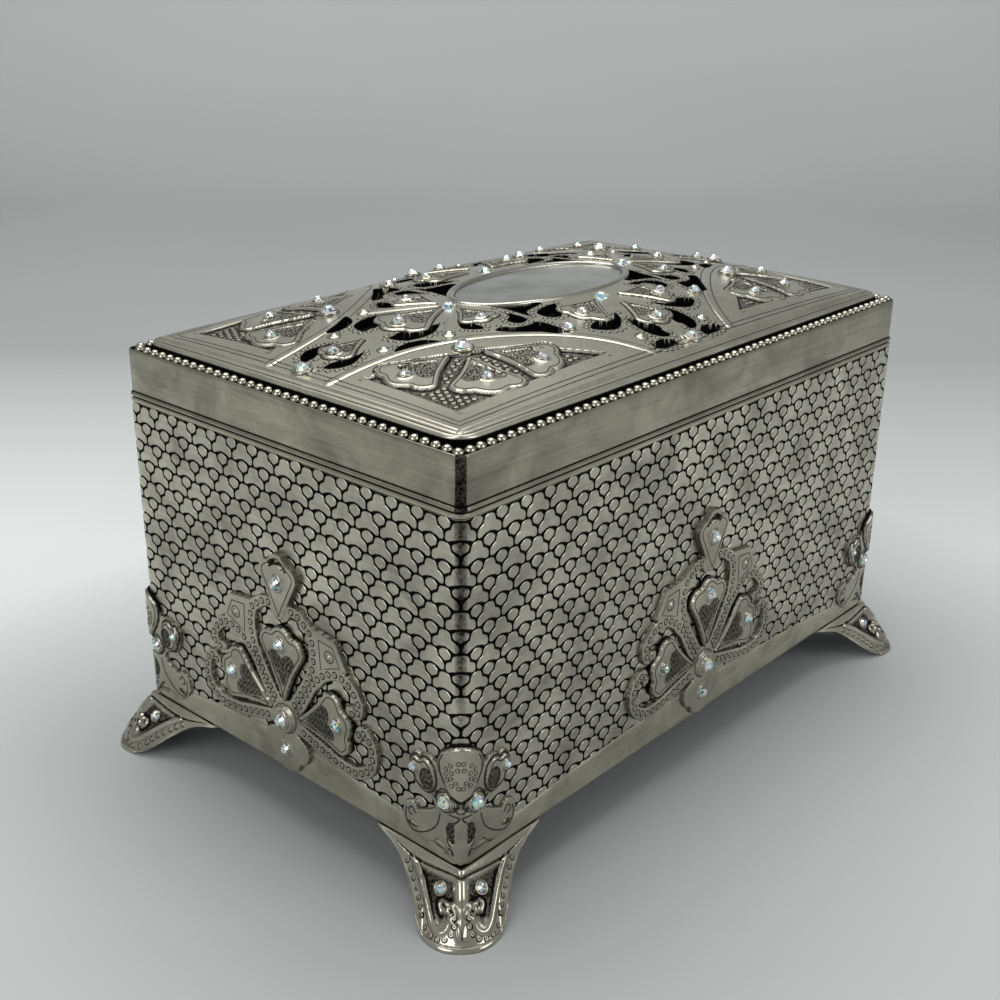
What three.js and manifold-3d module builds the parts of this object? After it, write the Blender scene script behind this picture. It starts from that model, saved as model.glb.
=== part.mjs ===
// Musical jewelry box: a cast metal tub on four splayed feet, with a domed pierced lid on two hinges,
// a velvet lining, and a wind-up movement under a cover board in the left bay.
// Millimetres, +Z up, origin on the floor under the middle of the box, front along -Y.

import * as THREE from 'three';
import { mergeVertices } from 'three/addons/utils/BufferGeometryUtils.js';
import Module from 'manifold-3d';

const wasm = await Module();
wasm.setup();

// Driving sizes of the box
const boxLength = 183.5;
const boxWidth = 115;
const footHeight = 15;
const caseHeight = 84.8;
const lidBandHeight = 12.2;
const cornerRadius = 2.5;
const leastRadius = 0.3;
const caseWall = 2.2;
const lidWall = 2.2;
const seatGap = 0.3;
const overrun = 1;

// Beads along the parting line
const partingBeadHeight = 1.2;
const partingBeadProud = 0.5;
const beadEdgeDrop = 0.35;

// Bead channel and flange of the lid frame
const channelLip = 0.5;
const channelDepth = 1.6;
const channelWidth = 2.95;
const flangeThickness = 1.6;
const flangeReach = 3.6;
const beadDiameter = 2.3;

// Domed lid top
const domeRise = 8.6;
const domeEdgeHeight = 3.3;
const domeStepWidth = 3;
const domeStepRise = 0.6;
const domeThickness = 2;
const petalRelief = 0.8;
const arcBandWidth = 2.2;
const arcBandRelief = 0.5;
const recessDepth = 0.7;
const domePower = 2.5;

// Oval on the lid
const ovalLength = 60;
const ovalWidth = 29.4;
const ovalRimWidth = 2;
const ovalSink = 1.2;
const ovalPlateThickness = 0.7;
const ovalRimProud = 0.5;
const ovalSteps = 24;

// Crystals
const crystalDiameter = 4;
const crystalHeight = 1.9;
const crystalSeatWall = 0.7;
const crystalSeatRise = 0.6;
const crystalSunk = 0.8;
const crystalTableShare = 0.55;
const crystalGirdleShare = 0.35;

// Heart petal, used on the lid and on the side medallions
const petalLength = 20.2;

// Side medallions
const medallionRise = 44;
const medallionPivotHeight = 15.3;
const medallionThickness = 1.6;
const medallionRelief = 0.6;
const scrollBandWidth = 3.2;
const pivotBezelRadius = 3.5;
const pivotBezelThickness = 2.6;
const hubRadius = 5.6;
const petalRoot = 4.9;

// Corner ornaments
const cornerOrnamentHeight = 31.2;
const cornerOrnamentThickness = 1.3;
const cornerOrnamentRelief = 0.6;

// Feet
const wingLength = 26.7;
const toeReach = 8.2;
const toeBulge = 0.9;
const toeBulgeHeight = 3;
const footWall = 2.8;
const footShelf = 0.6;
const soleStep = 0.4;

// Base plate and its screws
const basePlateThickness = 2;
const basePlateRecess = 0.5;
const cornerBossRadius = 3.6;
const cornerBossHeight = 4;
const cornerBossInset = 3.4;
const screwShankRadius = 1.1;
const screwHeadRadius = 2.2;
const screwHeadHeight = 1.2;
const screwLength = 6;
const screwSlotWidth = 0.6;
const screwSlotDepth = 0.5;

// Velvet lining
const trayWall = 1.6;
const trayFloor = 2;
const trayDrop = 3;
const dividerBeyond = 29;
const dividerThickness = 3;
const boardHeight = 46;
const boardThickness = 2;
const boardLedge = 3;
const rollCount = 4;
const rollHeight = 12;
const rollGap = 0.5;
const lidPadThickness = 5.4;

// Hinges
const hingeSpacing = 110;
const hingeKnuckleRadius = 1.7;
const hingeStandoff = 2.6;
const hingePinRadius = 0.75;
const hingeKnuckleLength = 5.2;
const hingeLeafThickness = 0.8;
const hingeLeafReach = 8;
const hingeHeadRadius = 1.2;

// Movement
const movementInset = 30.75;
const movementKeyPlace = -22;
const bedBeforeKey = 19;
const bedOverhang = 1.6;
const bedWidth = 44;
const bedThickness = 2.4;
const bedScrewInset = 4.5;
const runGap = 0.5;
const arborRadius = 1.5;
const bearingThickness = 2;
const bearingWall = 2;
const windingArborRadius = 2;
const driveTeeth = 24;
const pinionTeeth = 8;
const drivePitchRadius = 15;
const driveToothLength = 3.2;
const driveWheelThickness = 1.6;
const driveWheelClearance = 1.6;
const pinionThickness = 2.4;
const driveToothDepth = 1.4;
const gearClearance = 0.3;
const toothShare = 0.34;
const toothTipShare = 0.24;
const wheelTeeth = 24;
const governorTeeth = 8;
const wheelPitchRadius = 7.5;
const wheelThickness = 1.8;
const wheelToothDepth = 1;
const barrelRadius = 12;
const barrelHeight = 9;
const barrelWall = 1;
const mainspringThickness = 0.5;
const mainspringWidth = 5;
const mainspringTurns = 4;
const mainspringInnerRadius = 3;
const mainspringOuterRadius = 10.2;
const cylinderRadius = 6.5;
const cylinderLength = 20;
const pinHeight = 0.6;
const pinWidth = 0.5;
const noteCount = 15;
const pinsPerNote = 2;
const pinPlaces = 20;
const pinNoteStep = 5;
const pinTurnStep = 7;
const governorTurn = 125;
const governorArborRadius = 1;
const fanRadius = 4.6;
const fanBlade = 0.8;
const fanLength = 6;
const fanHubRadius = 2;
const fanPlace = 4;
const combToothLength = 8.5;
const combBackLength = 5.5;
const combThickness = 1;
const toothInset = 0.02;

// Winding key
const keyClearance = 2;
const keyGripWidth = 18;
const keyGripHeight = 7;
const keyGripThickness = 1.8;
const keySleeveRadius = 3.2;
const keySleeveOverlap = 2;
const keySocketDepth = 4.4;

// Stop rod
const stopRodRadius = 1.5;
const stopRodInsetX = 10.75;
const stopRodInsetY = 11;
const stopRodBottom = 27;
const stopArmHeight = 2;
const stopArmWidth = 2;

// Heights and places that follow
const caseBottom = footHeight;
const caseTop = footHeight + caseHeight;
const lidBottom = caseTop + seatGap;
const lidTopEdge = lidBottom + lidBandHeight;
const channelFloor = lidTopEdge - channelDepth;
const flangeBottom = channelFloor - flangeThickness;
const plateInset = channelLip + channelWidth;
const plateSeat = channelFloor + seatGap;
const plateEdgeTop = plateSeat + domeEdgeHeight;
const halfLength = boxLength / 2;
const halfWidth = boxWidth / 2;
const plateHalfLength = halfLength - plateInset;
const plateHalfWidth = halfWidth - plateInset;
const flangeInset = plateInset + flangeReach;
const basePlateBottom = caseBottom + basePlateRecess;
const basePlateTop = basePlateBottom + basePlateThickness;
const bossBottom = basePlateTop + seatGap;
const bossTop = bossBottom + cornerBossHeight;
const trayBottom = bossTop + seatGap;
const trayTop = caseTop - trayDrop;
const innerHalfLength = halfLength - caseWall;
const innerHalfWidth = halfWidth - caseWall;
const trayHalfLength = innerHalfLength - seatGap;
const trayHalfWidth = innerHalfWidth - seatGap;
const bayHalfLength = trayHalfLength - trayWall;
const bayHalfWidth = trayHalfWidth - trayWall;
const movementPlace = movementInset - halfLength;
const dividerPlace = movementPlace + dividerBeyond;
const bedBottom = basePlateTop + seatGap;
const bedTop = bedBottom + bedThickness;
const bedFront = movementKeyPlace - bedBeforeKey;
const wheelBottom = bedTop + driveWheelClearance;
const wheelTop = wheelBottom + driveWheelThickness;
const driveToothTop = wheelTop + driveToothDepth;
const pinionPitchRadius = drivePitchRadius * pinionTeeth / driveTeeth;
const arborHeight = wheelTop + driveToothDepth / 2 + pinionPitchRadius + gearClearance / 2;
const driveOuter = drivePitchRadius + driveToothLength / 2;
const pinionFrom = movementKeyPlace + drivePitchRadius - pinionThickness / 2;
const pinionTo = pinionFrom + pinionThickness;
const bearingFrom = movementKeyPlace + driveOuter + runGap;
const cylinderFrom = bearingFrom + bearingThickness + runGap;
const cylinderTo = cylinderFrom + cylinderLength;
const wheelFrom = cylinderTo + runGap;
const wheelTo = wheelFrom + wheelThickness;
const sharedBearingFrom = wheelTo + runGap;
const sharedBearingTo = sharedBearingFrom + bearingThickness;
const fanFrom = sharedBearingTo + fanPlace;
const fanTo = fanFrom + fanLength;
const endBearingFrom = fanTo + fanPlace / 2;
const endBearingTo = endBearingFrom + bearingThickness;
const bedBack = endBearingTo + bedOverhang;
const governorPitchRadius = wheelPitchRadius * governorTeeth / wheelTeeth;
const governorReach = wheelPitchRadius + governorPitchRadius + gearClearance;
const governorAngle = THREE.MathUtils.degToRad(governorTurn);
const governorX = movementPlace + governorReach * Math.cos(governorAngle);
const governorHeight = arborHeight + governorReach * Math.sin(governorAngle);
const combTip = movementPlace + cylinderRadius + pinHeight + seatGap;
const combRoot = combTip + combToothLength;
const combEnd = combRoot + combBackLength;
const combBottom = arborHeight - combThickness / 2;
const combTop = combBottom + combThickness;
const combFront = cylinderFrom;
const combBack = cylinderTo;
const riserTop = combBottom - seatGap;
const combScrewX = combRoot + combBackLength / 2;
const combScrewShares = [0.2, 0.8];
const combScrewPlaces = combScrewShares.map((share) => combFront + share * (combBack - combFront));

// Materials
const metal = new THREE.MeshStandardMaterial({ color: 0x8f897d, roughness: 0.38, metalness: 0.9 });
const darkMetal = new THREE.MeshStandardMaterial({ color: 0x2b2925, roughness: 0.7, metalness: 0.4 });
const brightMetal = new THREE.MeshStandardMaterial({ color: 0xb5ada0, roughness: 0.25, metalness: 1 });
const brass = new THREE.MeshStandardMaterial({ color: 0xb08d4a, roughness: 0.35, metalness: 1 });
const steel = new THREE.MeshStandardMaterial({ color: 0x8a8d90, roughness: 0.3, metalness: 1 });
const velvet = new THREE.MeshStandardMaterial({ color: 0x5a1020, roughness: 0.95, metalness: 0 });
const crystal = new THREE.MeshStandardMaterial({ color: 0xdfeaf2, roughness: 0.05, metalness: 0.1 });

// Solids
const weld = 0.0001;

function solidOf(geometry) {
  const plain = geometry.clone();
  plain.deleteAttribute('normal');
  plain.deleteAttribute('uv');
  const merged = mergeVertices(plain, weld);
  return new wasm.Manifold(new wasm.Mesh({
    numProp: 3,
    vertProperties: new Float32Array(merged.attributes.position.array),
    triVerts: new Uint32Array(merged.index.array),
  }));
}

function geometryOf(solid) {
  const mesh = solid.getMesh();
  const geometry = new THREE.BufferGeometry();
  geometry.setAttribute('position', new THREE.BufferAttribute(new Float32Array(mesh.vertProperties), 3));
  geometry.setIndex(new THREE.BufferAttribute(new Uint32Array(mesh.triVerts), 1));
  return geometry;
}

function join(first, ...others) {
  return others.reduce((sum, other) => sum.add(other), first);
}

function cut(first, ...others) {
  return others.reduce((rest, other) => rest.subtract(other), first);
}

// Outlines and simple bodies
function shapeOf(points, holes = []) {
  const corners = points.map(([x, y]) => new THREE.Vector2(x, y));
  if (THREE.ShapeUtils.isClockWise(corners)) corners.reverse();
  const shape = new THREE.Shape(corners);
  shape.holes = holes.map((hole) => new THREE.Path(hole.map(([x, y]) => new THREE.Vector2(x, y))));
  return shape;
}

function plate(points, thickness, bottom = 0, holes = []) {
  const settings = { depth: thickness, bevelEnabled: false };
  const geometry = new THREE.ExtrudeGeometry(shapeOf(points, holes), settings);
  return geometry.translate(0, 0, bottom);
}

function rod(radius, height, sides, x = 0, y = 0, bottom = 0) {
  const geometry = new THREE.CylinderGeometry(radius, radius, height, sides);
  return geometry.rotateX(Math.PI / 2).translate(x, y, bottom + height / 2);
}

function block(x0, x1, y0, y1, z0, z1) {
  const geometry = new THREE.BoxGeometry(x1 - x0, y1 - y0, z1 - z0);
  return geometry.translate((x0 + x1) / 2, (y0 + y1) / 2, (z0 + z1) / 2);
}

// A rod along Y, from one place to another
function arborRod(radius, from, to, sides, x, z) {
  const geometry = new THREE.CylinderGeometry(radius, radius, to - from, sides);
  return geometry.translate(x, (from + to) / 2, z);
}

// Points of a rounded rectangle that lies a given way inside the box's outline
const cornerSteps = 3;

function roundedOutline(inset, length = boxLength, width = boxWidth, radius = cornerRadius) {
  const turn = Math.max(radius - inset, leastRadius);
  const x = length / 2 - inset - turn;
  const y = width / 2 - inset - turn;
  const corners = [[x, y], [-x, y], [-x, -y], [x, -y]];
  const points = [];
  corners.forEach(([cx, cy], quarter) => {
    for (let step = 0; step <= cornerSteps; step += 1) {
      const angle = (quarter + step / cornerSteps) * Math.PI / 2;
      points.push([cx + turn * Math.cos(angle), cy + turn * Math.sin(angle)]);
    }
  });
  return points;
}

function roundedBlock(inset, bottom, top) {
  return plate(roundedOutline(inset), top - bottom, bottom);
}

// A closed profile of [inset, height] pairs carried round the box's outline
function frameRing(profile) {
  const rings = profile.map(([inset, height]) => roundedOutline(inset).map(([x, y]) => [x, y, height]));
  const count = rings[0].length;
  const positions = rings.flat(2);
  const triangles = [];
  rings.forEach((ring, row) => {
    const next = (row + 1) % rings.length;
    for (let step = 0; step < count; step += 1) {
      const after = (step + 1) % count;
      const a = row * count + step;
      const b = row * count + after;
      const c = next * count + after;
      const d = next * count + step;
      triangles.push(a, b, c, a, c, d);
    }
  });
  const geometry = new THREE.BufferGeometry();
  geometry.setAttribute('position', new THREE.Float32BufferAttribute(positions, 3));
  geometry.setIndex(triangles);
  return geometry;
}

// A sheet with thickness, from two grids of points that face each other
function sheetBody(front, back) {
  const rows = front.length;
  const columns = front[0].length;
  const positions = [...front.flat(2), ...back.flat(2)];
  const at = (side, row, column) => side * rows * columns + row * columns + column;
  const triangles = [];
  const quad = (a, b, c, d) => triangles.push(a, b, c, a, c, d);
  for (let row = 0; row < rows - 1; row += 1) {
    for (let column = 0; column < columns - 1; column += 1) {
      quad(at(0, row, column), at(0, row, column + 1), at(0, row + 1, column + 1), at(0, row + 1, column));
      quad(at(1, row, column), at(1, row + 1, column), at(1, row + 1, column + 1), at(1, row, column + 1));
    }
  }
  for (let row = 0; row < rows - 1; row += 1) {
    const last = columns - 1;
    quad(at(0, row, 0), at(0, row + 1, 0), at(1, row + 1, 0), at(1, row, 0));
    quad(at(0, row + 1, last), at(0, row, last), at(1, row, last), at(1, row + 1, last));
  }
  for (let column = 0; column < columns - 1; column += 1) {
    const last = rows - 1;
    quad(at(0, 0, column + 1), at(0, 0, column), at(1, 0, column), at(1, 0, column + 1));
    quad(at(0, last, column), at(0, last, column + 1), at(1, last, column + 1), at(1, last, column));
  }
  const geometry = new THREE.BufferGeometry();
  geometry.setAttribute('position', new THREE.Float32BufferAttribute(positions, 3));
  geometry.setIndex(triangles);
  return geometry;
}

// A smooth curve through hand-chosen points
function smooth(points, steps) {
  const curve = new THREE.CatmullRomCurve3(points.map(([x, y, z = 0]) => new THREE.Vector3(x, y, z)));
  return curve.getPoints(steps).map((point) => [point.x, point.y, point.z]);
}

// The outline of a band of even width along a curve, drawn in to a share of it at its curled end
function bandOutline(points, steps, width, endShare = 1) {
  const middle = smooth(points, steps);
  const left = [];
  const right = [];
  middle.forEach(([x, y], step) => {
    const [x0, y0] = middle[Math.max(step - 1, 0)];
    const [x1, y1] = middle[Math.min(step + 1, middle.length - 1)];
    const run = Math.hypot(x1 - x0, y1 - y0);
    const half = width / 2 * (1 - (1 - endShare) * (step / steps) ** 2);
    const nx = -(y1 - y0) / run * half;
    const ny = (x1 - x0) / run * half;
    left.push([x + nx, y + ny]);
    right.unshift([x - nx, y - ny]);
  });
  return [...left, ...right];
}

const mirrored = (points) => points.map(([x, y]) => [-x, y]);
const swapped = (points) => points.map(([x, y]) => [y, x]);
const scaled = (points, x, y = x) => points.map(([u, v]) => [u * x, v * y]);

// The whole outline of a shape given by its right half, from bottom to top
function bothHalves(half) {
  const left = half.filter(([x]) => x > 0).reverse().map(([x, y]) => [-x, y]);
  return [...half, ...left];
}

// Shares of the petal's length, from the root point up the right side to the top
const petalShares = [
  [0, 0], [0.13, 0.24], [0.371, 0.629], [0.398, 0.73], [0.302, 0.896], [0.105, 0.985], [0, 1],
];

function petalOutline(length, turn = 0, x = 0, y = 0) {
  const cos = Math.cos(turn);
  const sin = Math.sin(turn);
  const outline = bothHalves(scaled(petalShares, length));
  return outline.map(([u, v]) => [x + u * cos + v * sin, y - u * sin + v * cos]);
}

// Pieces are collected here with their materials
const model = new THREE.Group();
const bodyGroup = new THREE.Group();
const lidGroup = new THREE.Group();
model.add(bodyGroup, lidGroup);

function piece(name, geometry, material, parent = bodyGroup) {
  const mesh = new THREE.Mesh(geometry, material);
  mesh.name = name;
  parent.add(mesh);
  return mesh;
}

// Case walls: a band of wall with a bead along its top edge and four screw bosses inside
function beadProfile(bottom, side) {
  const top = bottom + partingBeadHeight;
  const inner = beadEdgeDrop - partingBeadProud;
  return [
    [inner * side, bottom], [-partingBeadProud * side, bottom + beadEdgeDrop],
    [-partingBeadProud * side, top - beadEdgeDrop], [inner * side, top],
  ];
}

const bossPlaces = [];
for (const sideX of [-1, 1]) {
  for (const sideY of [-1, 1]) {
    bossPlaces.push([
      sideX * (innerHalfLength - cornerBossInset), sideY * (innerHalfWidth - cornerBossInset),
    ]);
  }
}

function caseWalls() {
  const walls = solidOf(frameRing([
    [caseWall, caseBottom], [0, caseBottom], [0, caseTop - partingBeadHeight],
    ...beadProfile(caseTop - partingBeadHeight, 1), [caseWall, caseTop],
  ]));
  const outside = solidOf(roundedBlock(caseWall / 2, basePlateTop, caseTop));
  const bosses = bossPlaces.map(([x, y]) => {
    const boss = solidOf(rod(cornerBossRadius, cornerBossHeight, 12, x, y, bossBottom));
    return boss.intersect(outside);
  });
  const pilots = bossPlaces.map(([x, y]) => solidOf(rod(
    screwShankRadius + seatGap, cornerBossHeight, 8, x, y, bossBottom - seatGap,
  )));
  return geometryOf(cut(join(walls, ...bosses), ...pilots));
}

piece('case_walls', caseWalls(), metal);

// Base plate with screw holes and a hole for the winding arbor
function basePlate() {
  const sheet = solidOf(roundedBlock(caseWall + seatGap, basePlateBottom, basePlateTop));
  const drill = (radius, x, y) => solidOf(rod(
    radius, basePlateThickness + 2 * overrun, 12, x, y, basePlateBottom - overrun,
  ));
  const holes = bossPlaces.map(([x, y]) => drill(screwShankRadius + seatGap, x, y));
  const keyHole = drill(windingArborRadius + 2 * seatGap, movementPlace, movementKeyPlace);
  const bedHoles = bedScrewPlaces().map(([x, y]) => drill(screwShankRadius + seatGap, x, y));
  return geometryOf(cut(sheet, ...holes, keyHole, ...bedHoles));
}

function screw() {
  const head = solidOf(rod(screwHeadRadius, screwHeadHeight, 12, 0, 0, -screwHeadHeight));
  const shank = solidOf(rod(screwShankRadius, screwLength, 8));
  const slot = solidOf(block(
    -screwHeadRadius - overrun, screwHeadRadius + overrun, -screwSlotWidth / 2, screwSlotWidth / 2,
    -screwHeadHeight - overrun, screwSlotDepth - screwHeadHeight,
  ));
  return geometryOf(head.add(shank).subtract(slot));
}

function bedScrewPlaces() {
  const x = bedWidth / 2 - bedScrewInset;
  return [[movementPlace - x, bedFront + bedScrewInset], [movementPlace + x, bedBack - bedScrewInset]];
}

piece('base_plate', basePlate(), darkMetal);
bossPlaces.forEach(([x, y], index) => {
  piece(`base_screw_${index + 1}`, screw(), steel).position.set(x, y, basePlateBottom - seatGap);
});

// Feet: a wing along each bottom edge, drawn out and down to a rounded toe
// Rim points as shares: along the wall and out from it of the wing and the reach, and of the height
const rimShares = [
  [0.307, 1, 0], [0.157, 1.33, 0], [-0.037, 1.35, 0.01], [-0.217, 1.085, 0.14],
  [-0.42, 0.646, 0.45], [-0.674, 0.28, 0.78], [-1, 0.073, 0.97],
];
const footSpans = 12;
const profileShares = [0, 0.3, 0.62, 0.86, 1];

function footGrid(inset) {
  const top = caseBottom - seatGap - weld;
  const half = rimShares.map(([along, out, up]) => [
    along > 0 ? along * wingLength : along * (wingLength - inset * 0.3),
    out * toeReach, up * top,
  ]);
  const whole = [...half.slice(1).reverse().map(([x, y, z]) => [y, x, z]), ...half];
  const rim = smooth(whole, footSpans).map(([x, y, z]) => [x, y, z < soleStep ? 0 : z]);
  return rim.map(([x, y, z], step) => {
    const across = 2 * step / footSpans - 1;
    const wing = Math.abs(across) ** 0.8 * wingLength;
    const shelf = footShelf - inset;
    const topX = across < 0 ? shelf : shelf - wing;
    const topY = across < 0 ? shelf - wing : shelf;
    const toe = Math.cos(across * Math.PI / 2) ** 1.5;
    return profileShares.map((share) => {
      const spread = share ** 1.4;
      const pull = inset * share * 0.75;
      const bulge = toeBulge * toe * Math.sin(Math.PI * Math.min(share * 1.05, 1));
      const drop = share ** (1 + 0.25 * toe);
      const outX = topX + (x - topX) * spread + bulge - pull * (x > 0 || across < 0 ? 1 : 0);
      const outY = topY + (y - topY) * spread + bulge - pull * (y > 0 || across > 0 ? 1 : 0);
      return [outX, outY, top + (z - top) * drop];
    });
  });
}

function foot() {
  return sheetBody(footGrid(0), footGrid(footWall));
}

const corners = [[1, 1, 0], [-1, 1, 1], [-1, -1, 2], [1, -1, 3]];
const cornerNames = ['back_right', 'back_left', 'front_left', 'front_right'];
corners.forEach(([sideX, sideY, quarter], index) => {
  const mesh = piece(`foot_${cornerNames[index]}`, foot(), metal);
  mesh.position.set(sideX * halfLength, sideY * halfWidth, 0);
  mesh.rotation.z = quarter * Math.PI / 2;
});

// Side medallions: three heart petals fanned round a pivot, with curled bands, a finial and a trefoil
// The outlines are shares of the medallion's rise above its pivot
const upperScrollShares = [
  [0.068, 0.095], [0.105, 0.145], [0.19, 0.27], [0.243, 0.38], [0.264, 0.5], [0.243, 0.605],
  [0.19, 0.652], [0.14, 0.68], [0.08, 0.684], [0.03, 0.64],
];
const lowerScrollShares = [
  [0.077, 0.068], [0.105, 0.09], [0.18, 0.21], [0.232, 0.295], [0.28, 0.343], [0.36, 0.41],
  [0.47, 0.436], [0.527, 0.418], [0.58, 0.37], [0.609, 0.314], [0.586, 0.252],
];
const endScrollShares = [
  [0.59, 0.12], [0.618, 0.17], [0.677, 0.145], [0.702, 0.08], [0.702, 0.016], [0.67, -0.048],
  [0.627, -0.08], [0.575, -0.102], [0.457, -0.102], [0.339, -0.08], [0.19, -0.043], [0.077, -0.014],
];
const shoulderShares = [
  [0.25, 0.65], [0.436, 0.627], [0.468, 0.573], [0.52, 0.477], [0.405, 0.432], [0.273, 0.368],
];
const finialShares = [
  [0, 0.58], [0.1, 0.773], [0.147, 0.864], [0.141, 0.909], [0.109, 0.941], [0.055, 0.986], [0, 1],
];
const trefoilShares = [
  [0, -0.336], [0.082, -0.314], [0.159, -0.236], [0.182, -0.177], [0.091, -0.077], [0, -0.045],
];
const petalTurns = [-0.4, 0, 0.4].map((share) => share * Math.PI);
const curlShare = 0.6;

function medallion() {
  const atRise = (shares) => scaled(shares, medallionRise);
  const flat = medallionThickness;
  const raised = medallionThickness + medallionRelief;
  const petals = petalTurns.map((turn) => solidOf(plate(
    petalOutline(petalLength, turn, petalRoot * Math.sin(turn), petalRoot * Math.cos(turn)), raised,
  )));
  const bands = [upperScrollShares, lowerScrollShares, endScrollShares.slice().reverse()].map((shares) => {
    return bandOutline(atRise(shares), 7, scrollBandWidth, curlShare);
  });
  const shoulder = atRise(shoulderShares);
  const sides = [...bands, ...bands.map(mirrored)].map((outline) => solidOf(plate(outline, flat)));
  const shoulders = [shoulder, mirrored(shoulder)].map((outline) => solidOf(plate(outline, flat)));
  const finial = solidOf(plate(bothHalves(atRise(finialShares)), raised));
  const trefoil = solidOf(plate(bothHalves(atRise(trefoilShares)), flat));
  const hub = solidOf(rod(hubRadius, flat, 12));
  const bezel = solidOf(rod(pivotBezelRadius, pivotBezelThickness, 12));
  return geometryOf(join(hub, ...petals, ...sides, ...shoulders, finial, trefoil, bezel));
}

const sides = [
  ['front', halfWidth, 0], ['right', halfLength, 1], ['back', halfWidth, 2], ['left', halfLength, 3],
];
const medallionGeometry = medallion();
sides.forEach(([name, distance, quarter]) => {
  const turned = new THREE.Group();
  turned.rotation.z = quarter * Math.PI / 2;
  bodyGroup.add(turned);
  const mesh = piece(`medallion_${name}`, medallionGeometry, metal, turned);
  mesh.rotation.x = Math.PI / 2;
  mesh.position.set(0, -distance - seatGap, caseBottom + medallionPivotHeight);
});

// Corner ornaments: a shield over the corner, a petal, a large crystal seat and a curled wing on each side
// The outlines are shares of the ornament's height, out from the corner and up from its tip
const ornamentShares = [
  [0, 0], [0.058, 0.019], [0.22, 0.163], [0.281, 0.105], [0.361, 0.07], [0.454, 0.073], [0.543, 0.137],
  [0.588, 0.208], [0.56, 0.325], [0.489, 0.367], [0.438, 0.307], [0.252, 0.403], [0.262, 0.454],
  [0.393, 0.502], [0.466, 0.55], [0.514, 0.687], [0.498, 0.76], [0.438, 0.808], [0.294, 0.812],
  [0.24, 0.78], [0.198, 0.907], [0.093, 0.984], [0, 1],
];
const shieldShares = [
  [0, 0.543], [0.102, 0.588], [0.211, 0.754], [0.211, 0.831], [0.179, 0.895], [0.083, 0.968], [0, 0.987],
];
const cornerPetalShares = [
  [0.246, 0.601], [0.307, 0.521], [0.441, 0.562], [0.489, 0.681], [0.441, 0.773], [0.307, 0.78],
];
const wingEyeShares = [[0.44, 0.17], [0.5, 0.155], [0.53, 0.19], [0.45, 0.2]];
const crystalSeatShare = 0.157;
const crystalSeatUpShare = 0.5;
const crystalSeatRadiusShare = 0.086;

function cornerOrnament() {
  const atHeight = (shares) => scaled(shares, cornerOrnamentHeight);
  const wrap = (points, thickness) => [
    [-seatGap - thickness, points[0][1]], ...points, [-seatGap - thickness, points[points.length - 1][1]],
  ];
  const raised = cornerOrnamentThickness + cornerOrnamentRelief;
  const eye = atHeight(wingEyeShares);
  const seat = (side) => rod(
    cornerOrnamentHeight * crystalSeatRadiusShare, raised, 10,
    side * cornerOrnamentHeight * crystalSeatShare, cornerOrnamentHeight * crystalSeatUpShare,
  );
  const layers = (side) => [
    plate(
      side(wrap(atHeight(ornamentShares), cornerOrnamentThickness)), cornerOrnamentThickness, 0, [side(eye)],
    ),
    plate(side(wrap(atHeight(shieldShares), raised)), raised),
    plate(side(atHeight(cornerPetalShares)), raised),
  ];
  const front = [...layers((points) => points), seat(1)];
  const left = [...layers(mirrored), seat(-1)];
  front.forEach((geometry) => geometry.rotateX(Math.PI / 2).translate(0, -seatGap, 0));
  left.forEach((geometry) => geometry.rotateX(Math.PI / 2).rotateZ(-Math.PI / 2).translate(-seatGap, 0, 0));
  return geometryOf(join(...[...front, ...left].map(solidOf)));
}

const ornamentGeometry = cornerOrnament();
corners.forEach(([sideX, sideY, quarter], index) => {
  const mesh = piece(`corner_ornament_${cornerNames[index]}`, ornamentGeometry, metal);
  mesh.position.set(sideX * halfLength, sideY * halfWidth, caseBottom + seatGap);
  mesh.rotation.z = (quarter + 2) * Math.PI / 2;
});

// Velvet lining: a deep compartment on the right, a ledge for the cover board on the left
const dividerLeft = dividerPlace - dividerThickness / 2;
const dividerRight = dividerPlace + dividerThickness / 2;
const boardBottom = boardHeight + seatGap;
const boardTop = boardBottom + boardThickness;
const stopRodX = -halfLength + stopRodInsetX;
const stopRodY = halfWidth - stopRodInsetY;

function liningTray() {
  const outside = solidOf(roundedBlock(caseWall + seatGap, trayBottom, trayTop));
  const deep = block(
    dividerRight, bayHalfLength, -bayHalfWidth, bayHalfWidth, trayBottom + trayFloor, trayTop + overrun,
  );
  const ringBay = block(
    -bayHalfLength, dividerLeft, -bayHalfWidth, bayHalfWidth, boardHeight, trayTop + overrun,
  );
  const below = block(
    boardLedge - bayHalfLength, dividerLeft - boardLedge,
    boardLedge - bayHalfWidth, bayHalfWidth - boardLedge,
    trayBottom - overrun, boardHeight + overrun,
  );
  return geometryOf(cut(outside, ...[deep, ringBay, below].map(solidOf)));
}

function coverBoard() {
  const board = block(
    seatGap - bayHalfLength, dividerLeft - seatGap, seatGap - bayHalfWidth, bayHalfWidth - seatGap,
    boardBottom, boardTop,
  );
  const hole = rod(
    stopRodRadius + 2 * seatGap, boardThickness + 2 * overrun, 12, stopRodX, stopRodY, boardBottom - overrun,
  );
  return geometryOf(cut(solidOf(board), solidOf(hole)));
}

piece('lining_tray', liningTray(), velvet);
piece('cover_board', coverBoard(), velvet);

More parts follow.
